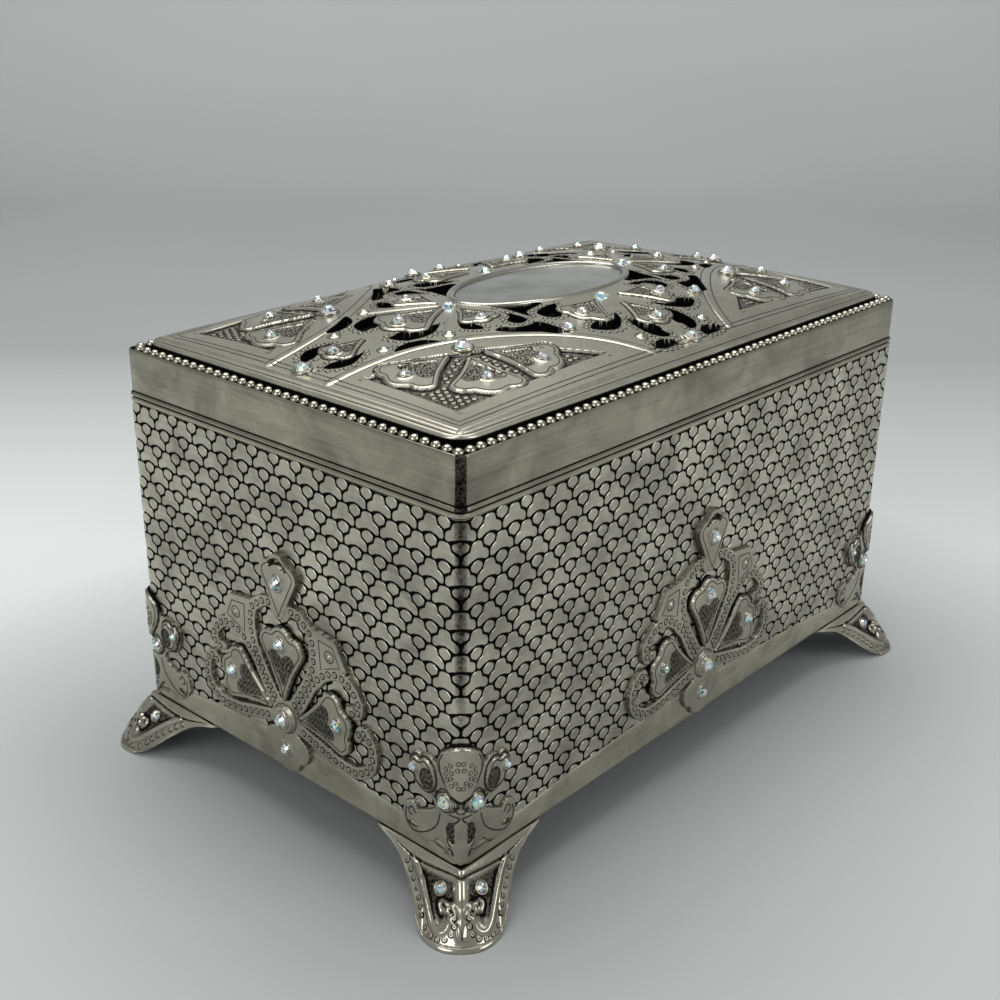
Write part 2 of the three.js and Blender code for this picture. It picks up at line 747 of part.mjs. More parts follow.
const rollSpace = (bayHalfLength + dividerLeft - rollGap) / rollCount;
const rollRadius = Math.min(rollSpace - rollGap, rollHeight) / 2;
const rollFrom = rollGap - bayHalfWidth;
const rollTo = stopRodY - stopRodRadius - rollGap;
const rollEndShare = 0.75;
for (let index = 0; index < rollCount; index += 1) {
  const length = rollTo - rollFrom;
  const profile = [
    [0, 0], [rollRadius * rollEndShare, 0], [rollRadius, rollRadius * (1 - rollEndShare)],
    [rollRadius, length - rollRadius * (1 - rollEndShare)], [rollRadius * rollEndShare, length], [0, length],
  ];
  const geometry = new THREE.LatheGeometry(profile.map(([x, y]) => new THREE.Vector2(x, y)), 12);
  const mesh = piece(`ring_roll_${index + 1}`, geometryOf(solidOf(geometry)), velvet);
  const place = -bayHalfLength + rollGap + rollSpace * (index + 0.5) - rollGap / 2;
  mesh.position.set(place, rollFrom, boardTop + seatGap + rollRadius);
}

// Movement: gears in the plane of a wheel, and bodies carried along Y
function gearOutline(teeth, pitchRadius, depth, phase) {
  const points = [];
  const pitch = 2 * Math.PI / teeth;
  const root = pitchRadius - depth / 2;
  const tip = pitchRadius + depth / 2;
  for (let tooth = 0; tooth < teeth; tooth += 1) {
    const middle = phase + tooth * pitch;
    const foot = toothShare * pitch / 2;
    const crest = toothTipShare * pitch / 2;
    points.push([root, middle - foot], [tip, middle - crest], [tip, middle + crest], [root, middle + foot]);
  }
  return points.map(([radius, angle]) => [radius * Math.cos(angle), radius * Math.sin(angle)]);
}

function circle(radius, sides, x = 0, y = 0) {
  return Array.from({ length: sides }, (_, step) => {
    const angle = step / sides * 2 * Math.PI;
    return [x + radius * Math.cos(angle), y + radius * Math.sin(angle)];
  });
}

function alongY(points, from, to, holes = []) {
  return plate(points, to - from, 0, holes).rotateX(Math.PI / 2).translate(0, to, 0);
}

function bedplate() {
  const bed = block(
    movementPlace - bedWidth / 2, movementPlace + bedWidth / 2, bedFront, bedBack, bedBottom, bedTop,
  );
  const post = (left, right, from, to, top) => block(left, right, from, to, bedBottom, top);
  const bearingHalf = arborRadius + bearingWall;
  const governorHalf = governorArborRadius + bearingWall;
  const first = post(
    movementPlace - bearingHalf, movementPlace + bearingHalf,
    bearingFrom, bearingFrom + bearingThickness, arborHeight + bearingHalf,
  );
  const shared = post(
    governorX - governorHalf, movementPlace + bearingHalf,
    sharedBearingFrom, sharedBearingTo, governorHeight + governorHalf,
  );
  const last = post(
    governorX - governorHalf, governorX + governorHalf,
    endBearingFrom, endBearingTo, governorHeight + governorHalf,
  );
  const riser = post(combRoot + seatGap, combEnd - seatGap, combFront, combBack, riserTop);
  const bore = (radius, from, to, x, z) => arborRod(radius, from - overrun / 2, to + overrun / 2, 12, x, z);
  const drill = (radius, x, y, height) => rod(radius, height, 12, x, y, bedBottom - overrun);
  const holes = [
    bore(arborRadius + seatGap, bearingFrom, bearingFrom + bearingThickness, movementPlace, arborHeight),
    bore(arborRadius + seatGap, sharedBearingFrom, sharedBearingTo, movementPlace, arborHeight),
    bore(governorArborRadius + seatGap, sharedBearingFrom, sharedBearingTo, governorX, governorHeight),
    bore(governorArborRadius + seatGap, endBearingFrom, endBearingTo, governorX, governorHeight),
    drill(windingArborRadius + seatGap, movementPlace, movementKeyPlace, bedThickness + 2 * overrun),
    ...bedScrewPlaces().map(([x, y]) => drill(screwShankRadius + seatGap, x, y, bedThickness + 2 * overrun)),
    ...combScrewPlaces.map((y) => rod(
      screwShankRadius + seatGap, screwLength, 8, combScrewX, y, riserTop - screwLength + overrun,
    )),
  ];
  return geometryOf(cut(join(...[bed, first, shared, last, riser].map(solidOf)), ...holes.map(solidOf)));
}

piece('movement_bedplate', bedplate(), brass);
bedScrewPlaces().forEach(([x, y], index) => {
  piece(`bedplate_screw_${index + 1}`, screw(), steel).position.set(x, y, basePlateBottom - seatGap);
});

// Comb with one tooth for each note
function comb() {
  const points = [[combEnd, combBack], [combEnd, combFront]];
  const pitch = (combBack - combFront) / noteCount;
  const slit = pitch * toothShare;
  points.push([combRoot, combFront]);
  for (let note = 0; note < noteCount; note += 1) {
    const from = combFront + note * pitch + slit / 2;
    const to = from + pitch - slit;
    points.push([combRoot, from], [combTip, from], [combTip, to], [combRoot, to]);
  }
  points.push([combRoot, combBack]);
  const holes = combScrewPlaces.map((y) => circle(screwShankRadius + seatGap, 8, combScrewX, y));
  return plate(points, combThickness, combBottom, holes);
}

piece('comb', comb(), steel);
combScrewPlaces.forEach((y, index) => {
  const mesh = piece(`comb_screw_${index + 1}`, screw(), steel);
  mesh.position.set(combScrewX, y, combTop + seatGap);
  mesh.rotation.x = Math.PI;
});

// Drive: winding key, arbor, crown wheel, and the barrel with its mainspring
const keyBottom = keyClearance;
const keyGripTop = keyBottom + keyGripHeight;
const keySleeveBottom = keyGripTop - keySleeveOverlap;
const keySleeveTop = basePlateBottom - screwHeadHeight - seatGap;
const windingArborBottom = keySleeveTop - keySocketDepth + seatGap;
const barrelBottom = wheelTop + seatGap;
const barrelTop = barrelBottom + barrelHeight;

// Half of the key's grip as shares of its width and height
const keyGripShares = [[0, 0], [0.36, 0], [0.5, 0.3], [0.5, 0.7], [0.36, 1], [0.18, 0.8], [0, 1]];

function windingKey() {
  const half = keyGripShares.map(([across, up]) => [keyGripWidth * across, keyGripHeight * up]);
  const grip = plate(bothHalves(half), keyGripThickness).rotateX(Math.PI / 2);
  grip.translate(0, keyGripThickness / 2, keyBottom);
  const sleeve = rod(keySleeveRadius, keySleeveTop - keySleeveBottom, 16, 0, 0, keySleeveBottom);
  const socket = rod(
    windingArborRadius + seatGap, keySocketDepth + overrun, 12, 0, 0, keySleeveTop - keySocketDepth,
  );
  return geometryOf(cut(join(solidOf(grip), solidOf(sleeve)), solidOf(socket)));
}

function driveWheel() {
  const disc = solidOf(plate(
    circle(driveOuter, driveTeeth), driveWheelThickness, wheelBottom,
    [circle(windingArborRadius + seatGap, 12)],
  ));
  const pitch = 2 * Math.PI / driveTeeth;
  const width = drivePitchRadius * pitch;
  const teeth = Array.from({ length: driveTeeth }, (_, tooth) => {
    const foot = width * toothShare / 2;
    const crest = width * toothTipShare / 2;
    const sunk = driveWheelThickness / 2;
    const profile = [[-foot, -sunk], [foot, -sunk], [crest, driveToothDepth], [-crest, driveToothDepth]];
    const body = plate(profile, driveToothLength).rotateX(Math.PI / 2);
    body.translate(0, driveOuter - toothInset, wheelTop);
    return solidOf(body.rotateZ((tooth + 0.5) * pitch - Math.PI / 2));
  });
  return geometryOf(join(disc, ...teeth));
}

function springBarrel() {
  const drum = solidOf(rod(barrelRadius, barrelHeight, 24, 0, 0, barrelBottom));
  const inside = solidOf(rod(barrelRadius - barrelWall, barrelHeight, 24, 0, 0, barrelBottom - barrelWall));
  const holeBottom = barrelTop - barrelHeight / 2;
  const hole = solidOf(rod(windingArborRadius + seatGap, barrelHeight, 12, 0, 0, holeBottom));
  return geometryOf(cut(drum, inside, hole));
}

function mainspring() {
  const steps = mainspringTurns * 8;
  const outer = [];
  const inner = [];
  for (let step = 0; step <= steps; step += 1) {
    const share = step / steps;
    const angle = share * mainspringTurns * 2 * Math.PI;
    const radius = mainspringInnerRadius + share * (mainspringOuterRadius - mainspringInnerRadius);
    const half = mainspringThickness / 2;
    outer.push([(radius + half) * Math.cos(angle), (radius + half) * Math.sin(angle)]);
    inner.unshift([(radius - half) * Math.cos(angle), (radius - half) * Math.sin(angle)]);
  }
  return plate([...outer, ...inner], mainspringWidth, barrelBottom);
}

const driveGroup = new THREE.Group();
driveGroup.position.set(movementPlace, movementKeyPlace, 0);
bodyGroup.add(driveGroup);
const windingArborLength = barrelTop - windingArborBottom;
piece('winding_key', windingKey(), brightMetal, driveGroup);
const windingArbor = rod(windingArborRadius, windingArborLength, 12, 0, 0, windingArborBottom);
piece('winding_arbor', windingArbor, steel, driveGroup);
piece('drive_wheel', driveWheel(), brass, driveGroup);
piece('spring_barrel', springBarrel(), brass, driveGroup);
piece('mainspring', mainspring(), steel, driveGroup);

// Pinned cylinder on its arbor, with the pinion that the crown wheel turns and the wheel for the governor
function pinnedCylinder() {
  const drum = solidOf(alongY(
    circle(cylinderRadius, 20, movementPlace, arborHeight), cylinderFrom, cylinderTo,
    [circle(arborRadius + seatGap, 12, movementPlace, arborHeight)],
  ));
  const pins = [];
  const pitch = (combBack - combFront) / noteCount;
  for (let note = 0; note < noteCount; note += 1) {
    for (let turn = 0; turn < pinsPerNote; turn += 1) {
      const y = combFront + (note + 0.5) * pitch;
      const pin = block(
        cylinderRadius - overrun / 2, cylinderRadius + pinHeight, -pinWidth / 2, pinWidth / 2,
        -pinWidth / 2, pinWidth / 2,
      );
      const place = (note * pinNoteStep + turn * pinTurnStep) % pinPlaces + 1 / 2;
      pin.rotateY(place / pinPlaces * 2 * Math.PI).translate(movementPlace, y, arborHeight);
      pins.push(solidOf(pin));
    }
  }
  return geometryOf(join(drum, ...pins));
}

function toothedWheel(teeth, pitchRadius, depth, phase, from, to, x, z, boreRadius) {
  const outline = gearOutline(teeth, pitchRadius, depth, phase).map(([u, v]) => [u + x, v + z]);
  return alongY(outline, from, to, [circle(boreRadius, 12, x, z)]);
}

const arborFrom = pinionFrom - runGap;
const arborTo = sharedBearingTo + runGap;
piece('cylinder_arbor', arborRod(arborRadius, arborFrom, arborTo, 12, movementPlace, arborHeight), steel);
piece('pinned_cylinder', pinnedCylinder(), brass);
piece('cylinder_pinion', toothedWheel(
  pinionTeeth, pinionPitchRadius, driveToothDepth, -Math.PI / 2, pinionFrom, pinionTo,
  movementPlace, arborHeight, arborRadius + seatGap,
), brass);
piece('cylinder_wheel', toothedWheel(
  wheelTeeth, wheelPitchRadius, wheelToothDepth, governorAngle, wheelFrom, wheelTo,
  movementPlace, arborHeight, arborRadius + seatGap,
), brass);

// Governor: a small pinion and a fan on one arbor
function governorArbor() {
  const shaft = arborRod(
    governorArborRadius, wheelFrom - runGap, endBearingTo + runGap, 12, governorX, governorHeight,
  );
  const gap = Math.PI + Math.PI / governorTeeth;
  const outline = gearOutline(governorTeeth, governorPitchRadius, wheelToothDepth, governorAngle + gap);
  const pinion = alongY(outline.map(([u, v]) => [u + governorX, v + governorHeight]), wheelFrom, wheelTo);
  return geometryOf(join(solidOf(shaft), solidOf(pinion)));
}

function governorFan() {
  const hub = solidOf(arborRod(fanHubRadius, fanFrom, fanTo, 12, governorX, governorHeight));
  const bore = solidOf(arborRod(
    governorArborRadius + seatGap, fanFrom - overrun, fanTo + overrun, 12, governorX, governorHeight,
  ));
  const half = fanBlade / 2;
  const blades = [0, Math.PI / 2].map((turn) => {
    const blade = block(-fanRadius, fanRadius, fanFrom, fanTo, -half, half);
    return solidOf(blade.rotateY(turn).translate(governorX, 0, governorHeight));
  });
  return geometryOf(cut(join(hub, ...blades), bore));
}

piece('governor_arbor', governorArbor(), steel);
piece('governor_fan', governorFan(), brass);

// Stop rod: the closed lid holds it down, and its arm then stands in the way of the fan
const padTop = flangeBottom - seatGap;
const padBottom = padTop - lidPadThickness;
const stopRodTop = padBottom - seatGap;

function stopRod() {
  const shaft = rod(stopRodRadius, stopRodTop - stopRodBottom, 12, stopRodX, stopRodY, stopRodBottom);
  const armMiddle = governorHeight;
  const fanMiddle = (fanFrom + fanTo) / 2;
  const low = armMiddle - stopArmHeight / 2;
  const high = armMiddle + stopArmHeight / 2;
  const run = block(
    stopRodX - stopArmWidth / 2, stopRodX + stopArmWidth / 2,
    fanMiddle - stopArmWidth / 2, stopRodY, low, high,
  );
  const tip = governorX - fanRadius - 2 * seatGap;
  const reach = block(
    stopRodX - stopArmWidth / 2, tip, fanMiddle - stopArmWidth / 2, fanMiddle + stopArmWidth / 2, low, high,
  );
  return geometryOf(join(...[shaft, run, reach].map(solidOf)));
}

piece('stop_rod', stopRod(), steel);

// Lid frame: the band with a bead along its lower edge, a channel for the bead row and a flange
const lidFrameProfile = [
  [0, lidTopEdge], [0, lidBottom + partingBeadHeight], ...beadProfile(lidBottom, 1).reverse(),
  [lidWall, lidBottom],
  [lidWall, flangeBottom], [flangeInset, flangeBottom], [flangeInset, channelFloor],
  [channelLip, channelFloor], [channelLip, lidTopEdge],
];
piece('lid_frame', geometryOf(solidOf(frameRing(lidFrameProfile.reverse()))), metal, lidGroup);

// Bead row, a plain rail here
const railInset = channelLip + channelWidth / 2;
const railProfile = circle(beadDiameter / 2, 8, railInset, channelFloor + seatGap + beadDiameter / 2);
piece('beaded_rim', frameRing(railProfile.slice().reverse()), metal, lidGroup);

// Domed lid top
const domeColumns = 8;
const domeLines = 6;

function stations(half, cells) {
  const inner = half - domeStepWidth;
  const between = Array.from({ length: cells + 1 }, (_, step) => inner * (2 * step / cells - 1));
  return [-half, ...between, half];
}

function domeHeight(x, y) {
  const edge = Math.abs(x) >= plateHalfLength - weld || Math.abs(y) >= plateHalfWidth - weld;
  if (edge) return plateEdgeTop;
  const along = 1 - Math.abs(x / plateHalfLength) ** domePower;
  const across = 1 - Math.abs(y / plateHalfWidth) ** domePower;
  return plateEdgeTop + domeStepRise + domeRise * along * across;
}

// A slab between two surfaces over the lid's plan
function domeSlab(low, high) {
  const columns = stations(plateHalfLength, domeColumns);
  const lines = stations(plateHalfWidth, domeLines);
  const grid = (height) => lines.map((y) => columns.map((x) => [x, y, height(x, y)]));
  return solidOf(sheetBody(grid(high), grid(low)));
}

const aboveDome = (offset) => (x, y) => domeHeight(x, y) + offset;

function underDome(x, y) {
  const rim = Math.abs(x) > plateHalfLength - domeStepWidth - weld;
  const edge = rim || Math.abs(y) > plateHalfWidth - domeStepWidth - weld;
  return edge ? plateSeat : domeHeight(x, y) - domeThickness;
}

const prismBottom = channelFloor;
const prismTop = plateEdgeTop + domeStepRise + domeRise + overrun * 2;
const prism = (points, holes) => solidOf(plate(points, prismTop - prismBottom, prismBottom, holes));
const quadrants = [[1, 1], [-1, 1], [-1, -1], [1, -1]];
const onLid = (shares, [x, y]) => scaled(shares, x * halfLength, y * halfWidth);

// Pierced openings of one quarter of the lid, as shares of its half length and half width
const openingShares = [
  [[0.512, 0.13], [0.589, 0.19], [0.641, 0.16], [0.657, 0.08], [0.613, 0.068], [0.567, 0.118]],
  [[0.757, 0.096], [0.807, 0.132], [0.862, 0.09], [0.866, 0.057], [0.839, 0.054], [0.809, 0.077]],
  [[0.328, 0.25], [0.324, 0.355], [0.352, 0.377], [0.371, 0.318]],
  [[0.468, 0.191], [0.496, 0.25], [0.468, 0.31], [0.453, 0.257]],
  [[0.621, 0.207], [0.599, 0.282], [0.653, 0.235], [0.71, 0.19]],
  [
    [0.319, 0.414], [0.305, 0.511], [0.334, 0.53], [0.436, 0.4], [0.447, 0.363], [0.422, 0.357], [0.352, 0.416],
  ],
  [[0.2, 0.275], [0.278, 0.3], [0.301, 0.335], [0.305, 0.226], [0.33, 0.135]],
  [[0.084, 0.607], [0.101, 0.652], [0.101, 0.739], [0.076, 0.786], [0.046, 0.786], [0.038, 0.717]],
  [[0.171, 0.315], [0.234, 0.335], [0.27, 0.356], [0.234, 0.428], [0.194, 0.353]],
  [[0.083, 0.53], [0.107, 0.593], [0.159, 0.645], [0.23, 0.588], [0.186, 0.555], [0.138, 0.581]],
];
const arcShares = [
  [0.905, 0.183], [0.798, 0.2], [0.672, 0.245], [0.547, 0.334], [0.435, 0.445], [0.324, 0.577], [0.24, 0.711],
  [0.183, 0.84],
];
const recessShares = [
  [0.31, 0.77], [0.443, 0.6], [0.567, 0.461], [0.719, 0.341], [0.86, 0.278], [0.86, 0.77],
];

// Heart petals of the lid: [place along, place across, turn from the long axis, share of the petal's length]
const longArmPetals = [[0.403, 0, 0, 1], [0.695, 0, 0, 0.62], [0.392, 0.06, 0.44, 0.62]];
const shortArmPetals = [[0, 0.46, 0.5, 0.72], [0.05, 0.384, 0.13, 0.8]];
const fanCentreShares = [0.595, 0.4];
const fanTurnShares = [0, 0.34, 0.68];
const fanPetalShare = 0.87;
const fanRootShare = 0.23;

function lidPetals(places, [sideX, sideY]) {
  const own = places.filter(([along, across]) => (along > 0 || sideX > 0) && (across > 0 || sideY > 0));
  return own.map(([along, across, turn, share]) => {
    const outline = petalOutline(
      petalLength * share, Math.PI / 2 - turn * Math.PI, along * halfLength, across * halfWidth,
    );
    return prism(outline.map(([x, y]) => [x * sideX, y * sideY]));
  });
}

function fanPetals(side) {
  const [along, across] = fanCentreShares;
  const places = fanTurnShares.map((turn) => [
    along + petalLength * fanRootShare * Math.cos(turn * Math.PI) / halfLength,
    across + petalLength * fanRootShare * Math.sin(turn * Math.PI) / halfWidth,
    turn, fanPetalShare,
  ]);
  return lidPetals(places, side);
}

// Places of the four large crystals round the oval
const ovalCrystalGap = 0.5;
const crystalSeatRadius = crystalDiameter / 2 + seatGap + crystalSeatWall;
const crystalAlong = ovalLength / 2 + ovalRimWidth + ovalCrystalGap + crystalSeatRadius;
const crystalAcross = ovalWidth / 2 + ovalRimWidth + ovalCrystalGap + crystalSeatRadius;
const ovalCrystals = [
  ['right', crystalAlong, 0], ['back', 0, crystalAcross],
  ['left', -crystalAlong, 0], ['front', 0, -crystalAcross],
];

const oval = (grow) => Array.from({ length: ovalSteps }, (_, step) => {
  const angle = step / ovalSteps * 2 * Math.PI;
  return [(ovalLength / 2 + grow) * Math.cos(angle), (ovalWidth / 2 + grow) * Math.sin(angle)];
});

function lidTop() {
  const slab = domeSlab(underDome, aboveDome(0));
  const relief = domeSlab(aboveDome(-overrun), aboveDome(petalRelief));
  const bandRelief = domeSlab(aboveDome(-overrun), aboveDome(arcBandRelief));
  const carving = domeSlab(aboveDome(-recessDepth), aboveDome(2 * overrun));
  const sinking = domeSlab(aboveDome(-ovalSink), aboveDome(2 * overrun));
  const recesses = quadrants.map((side) => prism(onLid(recessShares, side)));
  const petals = quadrants.flatMap((side) => [
    ...lidPetals(longArmPetals, side), ...lidPetals(shortArmPetals, side), ...fanPetals(side),
  ]);
  const bands = quadrants.map((side) => prism(bandOutline(onLid(arcShares, side), 7, arcBandWidth)));
  const openings = quadrants.flatMap((side) => openingShares.map((shares) => prism(onLid(shares, side))));
  const seats = ovalCrystals.map(([, x, y]) => {
    const height = domeHeight(x, y);
    return solidOf(rod(crystalSeatRadius, crystalSeatRise + overrun, 12, x, y, height - overrun));
  });
  const pockets = ovalCrystals.map(([, x, y]) => {
    const height = domeHeight(x, y) - crystalSunk - seatGap;
    return solidOf(rod(crystalDiameter / 2 + seatGap, overrun * 4, 12, x, y, height));
  });
  const carved = slab.subtract(join(...recesses).intersect(carving));
  const raised = join(...petals).intersect(relief).add(join(...bands).intersect(bandRelief));
  const ovalSinking = prism(oval(ovalRimWidth + seatGap)).intersect(sinking);
  const full = cut(join(carved, raised, ...seats), ovalSinking, ...pockets);
  return geometryOf(cut(full, ...openings));
}

piece('lid_top', lidTop(), metal, lidGroup);

// Oval rim and the bare plate inside it
const ovalBed = seatGap - ovalSink;
piece('oval_rim', geometryOf(
  prism(oval(ovalRimWidth), [oval(0)]).intersect(domeSlab(aboveDome(ovalBed), aboveDome(ovalRimProud))),
), brightMetal, lidGroup);
piece('oval_plate', geometryOf(
  prism(oval(-seatGap)).intersect(domeSlab(aboveDome(ovalBed), aboveDome(ovalBed + ovalPlateThickness))),
), metal, lidGroup);

// Dark backing under the pierced top, and the padded lining of the lid
const lidBacking = roundedBlock(flangeInset + seatGap, flangeBottom, channelFloor - seatGap);
piece('lid_backing', lidBacking, darkMetal, lidGroup);
piece('lid_lining', roundedBlock(lidWall + seatGap, padBottom, padTop), velvet, lidGroup);

// Crystals in the four seats
function cutCrystal() {
  const radius = crystalDiameter / 2;
  const profile = [
    [0, 0], [radius * (1 - crystalGirdleShare), 0], [radius, crystalHeight * crystalGirdleShare],
    [radius * crystalTableShare, crystalHeight], [0, crystalHeight],
  ];
  return geometryOf(solidOf(new THREE.LatheGeometry(profile.map(([x, y]) => new THREE.Vector2(x, y)), 10)));
}

ovalCrystals.forEach(([name, x, y]) => {
  const mesh = piece(`crystal_${name}`, cutCrystal().rotateX(Math.PI / 2), crystal, lidGroup);
  mesh.position.set(x, y, domeHeight(x, y) - crystalSunk);
});

// Hinges: two leaves with interleaved knuckles on one pin
const hingeY = halfWidth + hingeStandoff;
const hingeZ = (caseTop + lidBottom) / 2;
const knucklePitch = hingeKnuckleLength + seatGap;
const hingeLength = 3 * hingeKnuckleLength + 2 * seatGap;
const boreRadius = hingePinRadius + seatGap;

function alongX(points, from, to) {
  return plate(points, to - from).rotateX(Math.PI / 2).rotateZ(Math.PI / 2).translate(from, 0, 0);
}

function knuckle(from, to, side) {
  const inner = halfWidth + seatGap;
  const neck = [
    [inner, hingeZ + side * (hingeStandoff + partingBeadProud)],
    [inner + hingeLeafThickness, hingeZ + side * (hingeStandoff + 2 * partingBeadProud)],
    [hingeY + hingeKnuckleRadius * 0.4, hingeZ + side * hingeKnuckleRadius * 0.7],
    [hingeY - hingeKnuckleRadius * 0.7, hingeZ + side * hingeKnuckleRadius * 0.2],
    [inner + partingBeadProud, hingeZ + side * (hingeStandoff - partingBeadProud)],
  ];
  const barrel = circle(hingeKnuckleRadius, 12, hingeY, hingeZ);
  return [solidOf(alongX(neck, from, to)), solidOf(alongX(barrel, from, to))];
}

function hingeLeaf(side, knuckles) {
  const inner = halfWidth + seatGap;
  const near = hingeZ + side * (hingeStandoff + partingBeadProud);
  const far = hingeZ + side * hingeLeafReach;
  const leaf = solidOf(block(
    -hingeLength / 2, hingeLength / 2, inner, inner + hingeLeafThickness,
    Math.min(near, far), Math.max(near, far),
  ));
  const bodies = knuckles.flatMap((index) => {
    const from = index * knucklePitch - hingeLength / 2;
    return knuckle(from, from + hingeKnuckleLength, side);
  });
  const bore = solidOf(alongX(
    circle(boreRadius, 12, hingeY, hingeZ), -hingeLength / 2 - overrun, hingeLength / 2 + overrun,
  ));
  return geometryOf(cut(join(leaf, ...bodies), bore));
}

function hingePin() {
  const reach = hingeLength / 2 + seatGap;
  const shaftReach = reach + hingeLeafThickness;
  const shaft = alongX(circle(hingePinRadius, 12, hingeY, hingeZ), -shaftReach, shaftReach);
  const heads = [-reach - hingeLeafThickness, reach].map((from) => {
    return solidOf(alongX(circle(hingeHeadRadius, 12, hingeY, hingeZ), from, from + hingeLeafThickness));
  });
  return geometryOf(join(solidOf(shaft), ...heads));
}

[['left', -1], ['right', 1]].forEach(([name, side]) => {
  const place = side * hingeSpacing / 2;
  piece(`hinge_case_leaf_${name}`, hingeLeaf(-1, [0, 2]), metal).position.x = place;
  piece(`hinge_lid_leaf_${name}`, hingeLeaf(1, [1]), metal, lidGroup).position.x = place;
  piece(`hinge_pin_${name}`, hingePin(), steel).position.x = place;
});

export default model;
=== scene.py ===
# Musical jewelry box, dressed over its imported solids.
# Outlines are marked out in millimetres or in thousandths of their casting, and mm makes them metres.

import math
import bpy
import numpy as np
from mathutils import Matrix, Vector


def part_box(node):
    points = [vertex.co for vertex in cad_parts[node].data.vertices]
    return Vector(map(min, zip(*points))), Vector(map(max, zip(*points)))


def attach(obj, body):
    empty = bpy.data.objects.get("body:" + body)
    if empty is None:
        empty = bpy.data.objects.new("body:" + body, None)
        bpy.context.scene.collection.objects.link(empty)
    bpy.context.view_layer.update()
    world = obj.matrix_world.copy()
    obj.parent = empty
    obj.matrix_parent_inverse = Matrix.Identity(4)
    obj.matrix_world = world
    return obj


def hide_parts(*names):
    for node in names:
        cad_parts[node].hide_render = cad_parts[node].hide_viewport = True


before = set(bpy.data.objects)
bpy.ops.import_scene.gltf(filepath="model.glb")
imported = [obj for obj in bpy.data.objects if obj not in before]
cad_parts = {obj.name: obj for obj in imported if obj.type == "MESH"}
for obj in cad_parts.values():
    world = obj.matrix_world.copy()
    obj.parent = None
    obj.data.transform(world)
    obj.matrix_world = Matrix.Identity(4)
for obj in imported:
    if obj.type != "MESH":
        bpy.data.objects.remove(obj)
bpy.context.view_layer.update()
bpy.ops.object.select_all(action="DESELECT")
mm = 0.001
right_angle = math.pi / 2


# Camera at the photograph's place: above and outside the front left corner, with a short portrait lens.
bpy.ops.object.camera_add(location=(-0.27378, -0.22993, 0.20483))
camera = bpy.context.object
camera_right, camera_up = (0.66808, -0.74401, 0.01073), (0.27240, 0.25797, 0.92696)
camera_back = (-0.69244, -0.61636, 0.37501)
camera.rotation_euler = Matrix((camera_right, camera_up, camera_back)).transposed().to_euler()
camera.data.lens = 48.95
camera.data.sensor_width = 36
camera.data.clip_start = 0.01
bpy.context.scene.camera = camera
bpy.context.scene.view_settings.view_transform = "Standard"


# Table and backdrop: one sheet of pale card that lies flat under the box and sweeps up behind it.
# It is lit by three large soft lamps, with a pale room all round, and it also glows with painted light.
def node(tree, kind, *ordered, **values):
    """Adds a shader node, with its inputs in order or by name, or by _number, and its settings."""
    new = tree.nodes.new("ShaderNode" + kind)
    for name in ("operation", "data_type", "attribute_name"):
        if name in values:
            setattr(new, name, values.pop(name))
    for name, value in [*enumerate(ordered), *values.items()]:
        key = name
        if isinstance(name, str):
            key = int(name[1:]) if name[0] == "_" else name.replace("_", " ")
        if isinstance(value, bpy.types.NodeSocket):
            tree.links.new(value, new.inputs[key])
        else:
            new.inputs[key].default_value = value
    return new


def calc(tree, operation, *values):
    """The result of arithmetic on numbers."""
    return node(tree, "Math", *values, operation=operation).outputs[0]


def vector_calc(tree, operation, *values):
    """The result of arithmetic on vectors: a number for a product or a length, else a vector."""
    result = "Value" if operation in ("DOT_PRODUCT", "LENGTH") else "Vector"
    return node(tree, "VectorMath", *values, operation=operation).outputs[result]


def ramp(tree, value, start, end, low=0.0, high=1.0):
    """A value carried over from one range to another, and held at its ends."""
    limits = {"From_Min": start, "From_Max": end, "To_Min": low, "To_Max": high}
    return node(tree, "MapRange", Value=value, **limits).outputs["Result"]


def object_place(tree):
    return node(tree, "TexCoord").outputs["Object"]


def noise(tree, place, scale, **more):
    return node(tree, "TexNoise", Vector=place, Scale=scale, **more).outputs["Fac"]


def blend_colours(tree, amount, low, high):
    return node(tree, "Mix", data_type="RGBA", _0=amount, _6=low, _7=high).outputs[2]


def new_finish(name, **values):
    """A material with its shader's plain values."""
    finish = bpy.data.materials.new(name)
    finish.use_nodes = True
    shader = finish.node_tree.nodes["Principled BSDF"]
    for key, value in values.items():
        shader.inputs[key.replace("_", " ")].default_value = value
    return finish, finish.node_tree, shader


card_finish, tree, shader = new_finish("pale card", Roughness=0.75, Emission_Strength=1.0)
black = (0, 0, 0, 1)
away, across = Vector((0.7469, 0.6649, 0)), Vector((-0.6649, 0.7469, 0))
place = object_place(tree)
cloud = noise(tree, place, 3.0, Detail=2.0)
tone = blend_colours(tree, cloud, (0.325, 0.340, 0.338, 1), (0.370, 0.388, 0.384, 1))
depth = vector_calc(tree, "DOT_PRODUCT", place, away)
leftness = vector_calc(tree, "DOT_PRODUCT", place, across)
beyond_box = vector_calc(tree, "SUBTRACT", vector_calc(tree, "ABSOLUTE", place), (0.09, 0.055, 9.0))
beyond_box = vector_calc(tree, "LENGTH", vector_calc(tree, "MAXIMUM", beyond_box, (0, 0, 0)))
# Painted light: the card glows in a pool round the box, strongest just behind it and towards the left, and in a
# band far up the backdrop. The glow fades out within about 11 cm of the box, so the box's shadow stays dark.
lift = ramp(tree, depth, 0.36, 0.10)
for other_glow in [
    ramp(tree, depth, -0.12, 0.08, 0.45),
    ramp(tree, leftness, -0.20, 0.18, 0.62),
    ramp(tree, beyond_box, 0.0, 0.11),
]:
    lift = calc(tree, "MULTIPLY", lift, other_glow)
lift = calc(tree, "ADD", lift, ramp(tree, depth, 0.8, 1.15, 0.0, 0.26))
